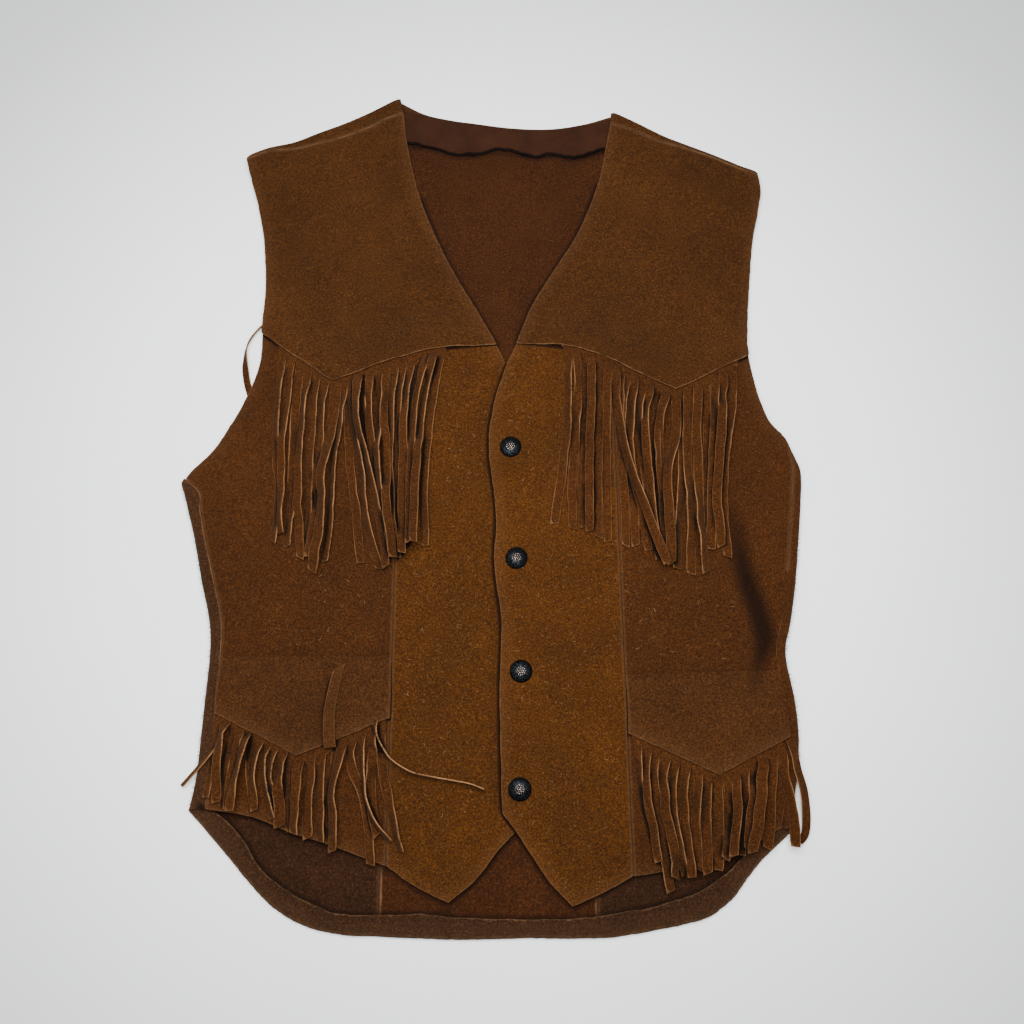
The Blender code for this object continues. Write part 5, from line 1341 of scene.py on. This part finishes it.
def snap_cap(name, x, y):
    """A domed cap with a rolled rim and rings of small beads round a centre bead."""
    bm = bmesh.new()
    base = float(left_height(x, y) + relief(x, y)) + 0.0001
    profile = [(SNAP_RADIUS * r, SNAP_DOME * z) for r, z in CAP_PROFILE]
    verts = [bm.verts.new((r, 0, z)) for r, z in profile]
    edges = [bm.edges.new(pair) for pair in zip(verts, verts[1:])]
    bmesh.ops.spin(bm, geom=verts + edges, cent=(0, 0, 0), axis=(0, 0, 1),
                   angle=2 * math.pi, steps=CAP_SIDES, use_merge=True)
    bmesh.ops.remove_doubles(bm, verts=bm.verts[:], dist=0.00001)
    bmesh.ops.recalc_face_normals(bm, faces=bm.faces[:])
    for f in bm.faces:
        f.smooth = True
    for count, ring, size, flat, worn in BEADS:
        for k in range(count):
            turn = 2 * math.pi * (k + 0.5 * (ring > 0.6)) / count
            r = SNAP_RADIUS * ring
            z = SNAP_DOME * float(np.interp(ring, *np.transpose(CAP_PROFILE[:DOME_ROWS])))
            made = bmesh.ops.create_uvsphere(bm, u_segments=8, v_segments=6, radius=size)["verts"]
            bmesh.ops.scale(bm, vec=(1, 1, flat), verts=made)
            bmesh.ops.translate(bm, vec=(r * math.cos(turn), r * math.sin(turn), z), verts=made)
            for f in {f for v in made for f in v.link_faces}:
                f.material_index = worn
                f.smooth = True
    bmesh.ops.translate(bm, vec=(x, y, base), verts=bm.verts[:])
    cap = finished(name + "_beaded", bm, DARK_METAL, WORN_METAL)
    dress(cap, name)
    return cap


# Fibres

def edge_fibres(name, folds, finish):
    """Fine fibres that stand out all along the folds, each a thin three-sided spike."""
    bm = bmesh.new()
    chance = np.random.default_rng(5)
    for line, outwards, low, high in folds:
        places = at(line, np.sort(chance.random(int(length_of(line) / FIBRE_SPACING))))
        for x, y in places[:, :2]:
            length = chance.uniform(*FIBRE_LENGTH)
            spike = bmesh.ops.create_cone(bm, cap_ends=True, segments=3, radius1=FIBRE_HALF,
                                          radius2=FIBRE_HALF * 0.4, depth=length)["verts"]
            aim = Vector(outwards(x, y)).normalized() + Vector(chance.uniform(-0.8, 0.8, 3))
            turn = aim.to_track_quat("Z", "Y")
            root = Vector((x, y, chance.uniform(low, high)))
            for v in spike:
                v.co = root + turn @ Vector((v.co.x, v.co.y, v.co.z + length * 0.3))
    thing = finished(name, bm, finish)
    dress(thing, None)
    return thing


def lint(name, finish):
    """Short bent fibres lying on the fronts."""
    bm = bmesh.new()
    chance = np.random.default_rng(6)
    for x_low, x_high, y_low, y_high, number, left in LINT_FIELDS:
        height = left_height if left else right_height
        for _ in range(number):
            x, y = chance.uniform(x_low, x_high), chance.uniform(y_low, y_high)
            length = chance.uniform(*LINT_LENGTH)
            turn, bend = chance.uniform(0, 2 * math.pi), chance.uniform(-2, 2)
            for v in bmesh.ops.create_grid(bm, x_segments=1, y_segments=4, size=1)["verts"]:
                share = (v.co.y + 1) / 2
                run = length * share
                px = x + run * math.cos(turn + bend * share / 2)
                py = y + run * math.sin(turn + bend * share / 2)
                side, aim = v.co.x * LINT_HALF, turn + bend * share
                z = float(height(px, py) + relief(px, py)) + 0.0003
                v.co = (px - side * math.sin(aim), py + side * math.cos(aim), z)
    thing = finished(name, bm, finish)
    thickness = thing.modifiers.new("wall", "SOLIDIFY")
    thickness.thickness = 0.0001
    dress(thing, None)
    return thing


# Materials

def nodes_of(name):
    """A new material with its node tree, its shader and the place on the piece."""
    material = bpy.data.materials.new(name)
    material.use_nodes = True
    tree = material.node_tree
    place = tree.nodes.new("ShaderNodeTexCoord").outputs["Object"]
    return material, tree, tree.nodes["Principled BSDF"], place


def maths(tree, operation, *values):
    """A Math node's result."""
    node = tree.nodes.new("ShaderNodeMath")
    node.operation = operation
    for socket, value in zip(node.inputs, values):
        if isinstance(value, bpy.types.NodeSocket):
            tree.links.new(value, socket)
        else:
            socket.default_value = value
    return node.outputs[0]


def noise_at(tree, place, scale, detail=2.0, rough=0.5):
    """A noise pattern's value, its waves per metre given by the scale."""
    node = tree.nodes.new("ShaderNodeTexNoise")
    node.inputs["Scale"].default_value = scale
    node.inputs["Detail"].default_value = detail
    node.inputs["Roughness"].default_value = rough
    tree.links.new(place, node.inputs["Vector"])
    return node.outputs["Fac"]


def ramp(tree, value, stops):
    """Colours by value."""
    node = tree.nodes.new("ShaderNodeValToRGB")
    tree.links.new(value, node.inputs["Fac"])
    elements = node.color_ramp.elements
    while len(elements) < len(stops):
        elements.new(0.5)
    for element, (position, colour) in zip(elements, stops):
        element.position = position
        element.color = (*colour, 1.0)
    return node.outputs["Color"]


def between(tree, value, low, high, start=0.0, end=1.0):
    """The value mapped from low..high to start..end and held there."""
    node = tree.nodes.new("ShaderNodeMapRange")
    tree.links.new(value, node.inputs["Value"])
    for key, number in (("From Min", low), ("From Max", high), ("To Min", start), ("To Max", end)):
        node.inputs[key].default_value = number
    return node.outputs["Result"]


def mixed(tree, share, first, second, blend="MIX"):
    """Two colours mixed by a share."""
    node = tree.nodes.new("ShaderNodeMix")
    node.data_type = "RGBA"
    node.blend_type = blend
    for socket, value in ((node.inputs[0], share), (node.inputs[6], first), (node.inputs[7], second)):
        if isinstance(value, bpy.types.NodeSocket):
            tree.links.new(value, socket)
        elif isinstance(value, tuple):
            socket.default_value = (*value, 1.0)
        else:
            socket.default_value = value
    return node.outputs[2]


def raise_grain(tree, shader, height, depth, strength):
    """Lets a pattern stand up a little in the light."""
    bump = tree.nodes.new("ShaderNodeBump")
    bump.inputs["Distance"].default_value = depth
    bump.inputs["Strength"].default_value = strength
    tree.links.new(height, bump.inputs["Height"])
    tree.links.new(bump.outputs["Normal"], shader.inputs["Normal"])


def dull(shader, roughness, shine):
    """A rough finish with little shine."""
    shader.inputs["Roughness"].default_value = roughness
    shader.inputs["Specular IOR Level"].default_value = shine


def shade(colour, factor, warm=1.0):
    """A colour made lighter or darker."""
    return (colour[0] * factor * warm, colour[1] * factor, colour[2] * factor / warm)


def suede(name, base, marked=True, fleck=0.5, mottle=1.0):
    """Brushed suede: grain, pale flecks, faint mottling, darker seams and paler worn edges, with painted
    shadow beside the pieces that lie over it and painted shade in the trough; on strands, paler cut edges and
    painted shade in the crevices between them.
    """
    material, tree, shader, place = nodes_of(name)
    broad = noise_at(tree, place, 14, 2, 0.5)
    medium = noise_at(tree, place, 60, 3, 0.6)
    small = noise_at(tree, place, 300, 3, 0.7)
    grain = noise_at(tree, place, 900, 2, 0.6)
    value = maths(tree, "MULTIPLY", broad, 0.11 * mottle)
    value = maths(tree, "MULTIPLY_ADD", medium, 0.08 * mottle, value)
    value = maths(tree, "MULTIPLY_ADD", small, 0.09, value)
    value = maths(tree, "MULTIPLY_ADD", grain, 0.60, value)
    middle = (0.19 * mottle + 0.69) / 2
    tone = ramp(tree, between(tree, value, middle - 0.17, middle + 0.17), (
        (0.0, shade(base, 0.28)), (0.34, shade(base, 0.70)), (0.50, base),
        (0.68, shade(base, 1.40, 0.97)), (1.0, shade(base, 2.6, 0.92)),
    ))
    hair = noise_at(tree, place, 780, 3, 0.75)
    hairs = between(tree, hair, 0.60, 0.72, 0.0, fleck)
    tone = mixed(tree, hairs, tone, PALE_FLECK)
    if marked:
        edge_noise = noise_at(tree, place, 300, 3, 0.7)
        spread = between(tree, edge_noise, 0.3, 0.7, 0.35, 1.25)
        distance = attribute(tree, "pale")
        share = between(tree, maths(tree, "DIVIDE", distance, spread), 0.30, 1.0, 0.75, 0.0)
        share = maths(tree, "MULTIPLY", share, between(tree, medium, 0.40, 0.60, 0.35, 1.0))
        tone = mixed(tree, share, tone, PALE_CUT)
        distance = attribute(tree, "worn")
        near = between(tree, maths(tree, "DIVIDE", distance, spread), 0.4, 1.3, 0.20, 0.0)
        wide = between(tree, distance, 1.0, 9.0, 0.07, 0.0)
        tone = mixed(tree, maths(tree, "ADD", near, wide), tone, PALE_CUT)
        distance = attribute(tree, "seam")
        tone = mixed(tree, between(tree, distance, 0.2, 0.8, 0.80, 0.0), tone, shade(base, 0.18))
        tone = mixed(tree, between(tree, distance, 0.8, 2.2, 0.16, 0.0), tone, PALE_CUT)
        # Painted shadow beside the edges of the pieces that lie over the panel: dark close to them, a little
        # darker up to 9 mm off.
        distance = attribute(tree, "bare")
        tone = mixed(tree, between(tree, distance, 0.8, 2.2, 0.88, 0.0), tone, shade(base, 0.10))
        tone = mixed(tree, between(tree, distance, 0.0, 9.0, 0.20, 0.0), tone, shade(base, 0.30))
        # Painted shade in the trough, darker where it sinks further.
        trough_shade_depth = attribute(tree, "trough_shade_depth")
        tone = mixed(tree, between(tree, trough_shade_depth, 0.9, 3.6, 0.0, 0.86), tone, shade(base, 0.10))
    else:
        tone = mixed(tree, maths(tree, "MULTIPLY", attribute(tree, "turned"), 0.05), tone, PALE_FLECK)
        share = between(tree, attribute(tree, "edge"), 0.74, 0.94, 0.0, 0.50)
        share = maths(tree, "MULTIPLY", share, between(tree, medium, 0.42, 0.58, 0.35, 1.0))
        tone = mixed(tree, share, tone, PALE_STRAND)
        # Painted shade in the crevices between raised strands, near black where a vertex lies lowest.
        crevice_shade = attribute(tree, "crevice_shade")
        tone = mixed(tree, between(tree, crevice_shade, 0.08, 0.50, 0.0, 0.97), tone, shade(base, 0.02))
    tree.links.new(tone, shader.inputs["Base Color"])
    height = maths(tree, "MULTIPLY_ADD", small, 0.6, maths(tree, "MULTIPLY", grain, 0.5))
    raise_grain(tree, shader, height, 0.0012, 0.8)
    dull(shader, 0.95, 0.08)
    shader.inputs["Sheen Weight"].default_value = 0.06
    shader.inputs["Sheen Roughness"].default_value = 0.6
    shader.inputs["Sheen Tint"].default_value = (0.75, 0.42, 0.22, 1.0)
    return material


def attribute(tree, name):
    """A vertex value of the piece."""
    node = tree.nodes.new("ShaderNodeAttribute")
    node.attribute_name = name
    return node.outputs["Fac"]


def cut_edge(name, base, crevice_shading=False):
    """The raw cut edge of suede: pale fibres, with painted shade where it lies low between strands."""
    material, tree, shader, place = nodes_of(name)
    fine = noise_at(tree, place, 700, 4, 0.7)
    broad = noise_at(tree, place, 90, 2, 0.6)
    value = maths(tree, "MULTIPLY_ADD", fine, 0.5, maths(tree, "MULTIPLY", broad, 0.5))
    tone = ramp(tree, value, ((0.38, shade(base, 0.22)), (0.5, base), (0.64, shade(base, 1.5))))
    if crevice_shading:
        crevice_shade = between(tree, attribute(tree, "crevice_shade"), 0.22, 0.70, 0.0, 0.9)
        tone = mixed(tree, crevice_shade, tone, shade(base, 0.03))
    tree.links.new(tone, shader.inputs["Base Color"])
    dull(shader, 0.9, 0.15)
    return material


def leather(name, base):
    """Smooth, slightly creased leather."""
    material, tree, shader, place = nodes_of(name)
    broad = noise_at(tree, place, 60, 4, 0.6)
    fine = noise_at(tree, place, 800, 3, 0.6)
    value = maths(tree, "MULTIPLY_ADD", fine, 0.35, maths(tree, "MULTIPLY", broad, 0.65))
    tone = ramp(tree, value, ((0.3, shade(base, 0.7)), (0.5, base), (0.7, shade(base, 1.35))))
    near = between(tree, attribute(tree, "pale"), 0.7, 2.2, 0.97, 0.0)
    tone = mixed(tree, near, tone, shade(base, 0.04))
    tree.links.new(tone, shader.inputs["Base Color"])
    raise_grain(tree, shader, value, 0.0005, 0.35)
    dull(shader, 0.85, 0.06)
    return material


def metal(name, base, roughness, spots):
    """Antiqued metal, its tarnish in small spots."""
    material, tree, shader, place = nodes_of(name)
    value = noise_at(tree, place, spots, 3, 0.6)
    tone = ramp(tree, value, ((0.36, shade(base, 0.15)), (0.5, base), (0.68, shade(base, 2.6))))
    tree.links.new(tone, shader.inputs["Base Color"])
    tree.links.new(between(tree, value, 0.3, 0.7, roughness + 0.15, roughness - 0.1),
                   shader.inputs["Roughness"])
    shader.inputs["Metallic"].default_value = 1.0
    return material


def paper(name, base):
    """The pale surface on which the vest lies, painted darker away from its middle as a painted falloff of
    the light.
    """
    material, tree, shader, place = nodes_of(name)
    value = noise_at(tree, place, 6, 2, 0.5)
    tone = ramp(tree, value, ((0.3, shade(base, 0.985)), (0.7, shade(base, 1.015))))
    # Painted falloff of the light: the floor's colour darkens from 0.27 m to 0.50 m away from the middle.
    away = tree.nodes.new("ShaderNodeVectorMath")
    away.operation = "LENGTH"
    tree.links.new(place, away.inputs[0])
    outer = between(tree, away.outputs["Value"], 0.27, 0.50, 0.0, 1.0)
    tone = mixed(tree, outer, tone, shade(base, 0.70))
    tree.links.new(tone, shader.inputs["Base Color"])
    shader.inputs["Roughness"].default_value = 0.8
    return material


# Floor, light and camera

def stage():
    """A pale floor, soft light from above and the camera over the vest."""
    bm = bmesh.new()
    bmesh.ops.create_grid(bm, x_segments=8, y_segments=8, size=FLOOR_HALF)
    floor = finished("floor", bm, paper("pale_floor", FLOOR_COLOUR))
    for name, place, size, power in LAMPS:
        lamp = bpy.data.lights.new(name, "AREA")
        lamp.shape = "DISK"
        lamp.size = size
        lamp.energy = power
        thing = bpy.data.objects.new(name, lamp)
        thing.location = place
        thing.rotation_euler = Vector(place).to_track_quat("Z", "Y").to_euler()
        bpy.context.scene.collection.objects.link(thing)
    world = bpy.data.worlds.new("soft_room")
    world.use_nodes = True
    world.node_tree.nodes["Background"].inputs["Color"].default_value = (*ROOM_COLOUR, 1.0)
    world.node_tree.nodes["Background"].inputs["Strength"].default_value = ROOM_LIGHT
    bpy.context.scene.world = world
    camera = bpy.data.cameras.new("camera")
    camera.sensor_width = 36.0
    camera.lens = CAMERA_LENS
    holder = bpy.data.objects.new("camera", camera)
    holder.location = CAMERA_PLACE
    holder.rotation_euler = (math.radians(CAMERA_TILT), 0, 0)
    bpy.context.scene.collection.objects.link(holder)
    bpy.context.scene.camera = holder


# The vest

stage()

SUEDE_YOKE = suede("suede_yoke", YOKE_BROWN, fleck=0.30, mottle=1.2)
SUEDE_SIDE = suede("suede_side", SIDE_BROWN, fleck=0.45)
SUEDE_CENTRE = suede("suede_centre", CENTRE_BROWN, fleck=0.80)
SUEDE_FLAP = suede("suede_flap", FLAP_BROWN, fleck=0.45)
SUEDE_WRAP = suede("suede_wrap", WRAP_BROWN, fleck=0.55)
SUEDE_INSIDE = suede("suede_inside", INSIDE_BROWN, fleck=0.35)
SUEDE_HEM = suede("suede_hem", HEM_BROWN, fleck=0.45)
SUEDE_STRAND = suede("suede_strand", STRAND_BROWN, marked=False, fleck=0.25)
SUEDE_LOW_INSIDE = suede("suede_low_inside", LOW_INSIDE_BROWN, fleck=0.35)
FACING_LEATHER = leather("facing_leather", FACING_BROWN)
CUT_RIM = cut_edge("cut_suede", PALE_CUT)
EDGE_DARK = cut_edge("front_edge", FRONT_EDGE_BROWN)
CUT_STRAND = cut_edge("cut_strand", PALE_STRAND, crevice_shading=True)
FLAP_RIM = cut_edge("flap_edge", FLAP_EDGE_BROWN)
CUT_DARK = cut_edge("cut_facing", FACING_EDGE_BROWN)
FIBRE = cut_edge("fibre", FIBRE_BROWN)
LINT = cut_edge("lint", LINT_BROWN)
DARK_METAL = metal("dark_metal", METAL_GREY, 0.46, 900)
WORN_METAL = metal("worn_metal", METAL_COPPER, 0.30, 1400)

right_tip = shoulder_edge(RIGHT_SHOULDER_LINE, RIGHT_ACROSS, [0.0], SHOULDER_ROLL)[0]
left_tip = shoulder_edge(LEFT_SHOULDER_LINE, LEFT_ACROSS, [0.0], SHOULDER_ROLL)[0]
back_yoke("back_yoke")
back_centre("back_centre")
back_side("back_side_right", 1, RIGHT_ARMHOLE, RIGHT_BACK_CORNER, right_tip, BACK_HEM_RIGHT,
          SUEDE_WRAP, 1.0)
back_side("back_side_left", -1, LEFT_ARMHOLE, LEFT_BACK_CORNER, left_tip, BACK_HEM_LEFT,
          SUEDE_SIDE, LEFT_SEAM_LOW)
back_hem("back_hem")
back_neck_facing("back_neck_facing")

front_side("front_side_right", 1, RIGHT_ARMHOLE, RIGHT_SIDE_HEM, RIGHT_FRONT_SEAM,
           RIGHT_YOKE_EDGE, RIGHT_FLAP_EDGE, RIGHT_FLAP_TOP, right_height, 21.0, -1.0)
front_side("front_side_left", -1, LEFT_ARMHOLE, LEFT_SIDE_HEM, LEFT_FRONT_SEAM,
           LEFT_YOKE_EDGE, LEFT_FLAP_EDGE, LEFT_FLAP_TOP, left_height, 22.0, LEFT_SEAM_LOW)
front_centre("front_centre_right", -1, RIGHT_FRONT_SEAM, RIGHT_CENTRE_HEM, RIGHT_CENTRE_CUT,
             UNDERLAP_EDGE, RIGHT_YOKE_EDGE, right_height, (0.0002, 0.0003))
front_centre("front_centre_left", 1, LEFT_FRONT_SEAM, LEFT_CENTRE_HEM, LEFT_CENTRE_CUT,
             OVERLAP_FRONT, LEFT_YOKE_EDGE, left_height, (0.0003, 0.0007))
front_yoke("front_yoke_right", RIGHT_SHOULDER_LINE, RIGHT_ACROSS, RIGHT_ARMHOLE, RIGHT_YOKE_EDGE,
           RIGHT_NECK, right_height, RIGHT_YOKE_STRIP, 51.0)
front_yoke("front_yoke_left", LEFT_SHOULDER_LINE, LEFT_ACROSS, LEFT_ARMHOLE, LEFT_YOKE_EDGE,
           LEFT_NECK, left_height, LEFT_YOKE_STRIP, 52.0)
pocket_flap("pocket_flap_right", 1, RIGHT_FLAP_TOP, RIGHT_FLAP_EDGE, RIGHT_FRONT_SEAM,
            right_height, 53.0, FLIPPED_SHADE)
pocket_flap("pocket_flap_left", -1, LEFT_FLAP_TOP, LEFT_FLAP_EDGE, LEFT_FRONT_SEAM,
            left_height, 54.0)

bm, bed = fringe(RIGHT_YOKE_EDGE, RIGHT_YOKE_STRIP, YOKE_LAP, right_height, RIGHT_YOKE_STRANDS, 1.0)
fringe_piece("yoke_fringe_right", bm, bed)
bm, bed = fringe(LEFT_YOKE_EDGE, LEFT_YOKE_STRIP, YOKE_LAP, left_height, LEFT_YOKE_STRANDS, 2.0)
fringe_piece("yoke_fringe_left", bm, bed)
bm, bed = fringe(RIGHT_FLAP_EDGE, RIGHT_POCKET_STRIP, FLAP_LAP, right_height, RIGHT_POCKET_STRANDS, 3.0)
loose(bm, bed, FLARED_STRAND)
loose(bm, bed, LONG_STRAND)
loose(bm, bed, FLIPPED_STRAND, FLIPPED_SKEW, 1.0)
fringe_piece("pocket_fringe_right", bm, bed)
bm, bed = fringe(LEFT_FLAP_EDGE, LEFT_POCKET_STRIP, FLAP_LAP, left_height, LEFT_POCKET_STRANDS, 4.0)
loose(bm, bed, SPREAD_STRAND)
fringe_piece("pocket_fringe_left", bm, bed)
bm = fringe_mesh()
bed = Bed((-0.20, 0.03), (-0.14, 0.14), lambda x, y: 0 * x)
loose(bm, bed, BACK_STRAND)
fringe_piece("back_fringe", bm, bed)

hem_fold = curve(list(BACK_HEM_RIGHT) + list(BACK_HEM_MIDDLE[1:]) + list(BACK_HEM_LEFT[::-1][1:]))
edge_fibres("edge_fibres", (
    (hem_fold, lambda x, y: (x, y + 0.150, 0), 0.0004, 0.0030),
    (side_edge(1, np.linspace(-0.222, -0.010, 30), 0.0006), lambda x, y: (-1, 0, 0), 0.0010, 0.0070),
    (side_edge(-1, np.linspace(-0.232, -0.040, 30), 0.0006), lambda x, y: (1, 0, 0), 0.0010, 0.0070),
), FIBRE)
lint("front_lint", LINT)

for number, (x, y) in enumerate(SNAPS, 1):
    snap_cap("snap_cap_%d" % number, x, y)
    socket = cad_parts["snap_socket_%d" % number]
    socket.data.materials.clear()
    socket.data.materials.append(DARK_METAL)
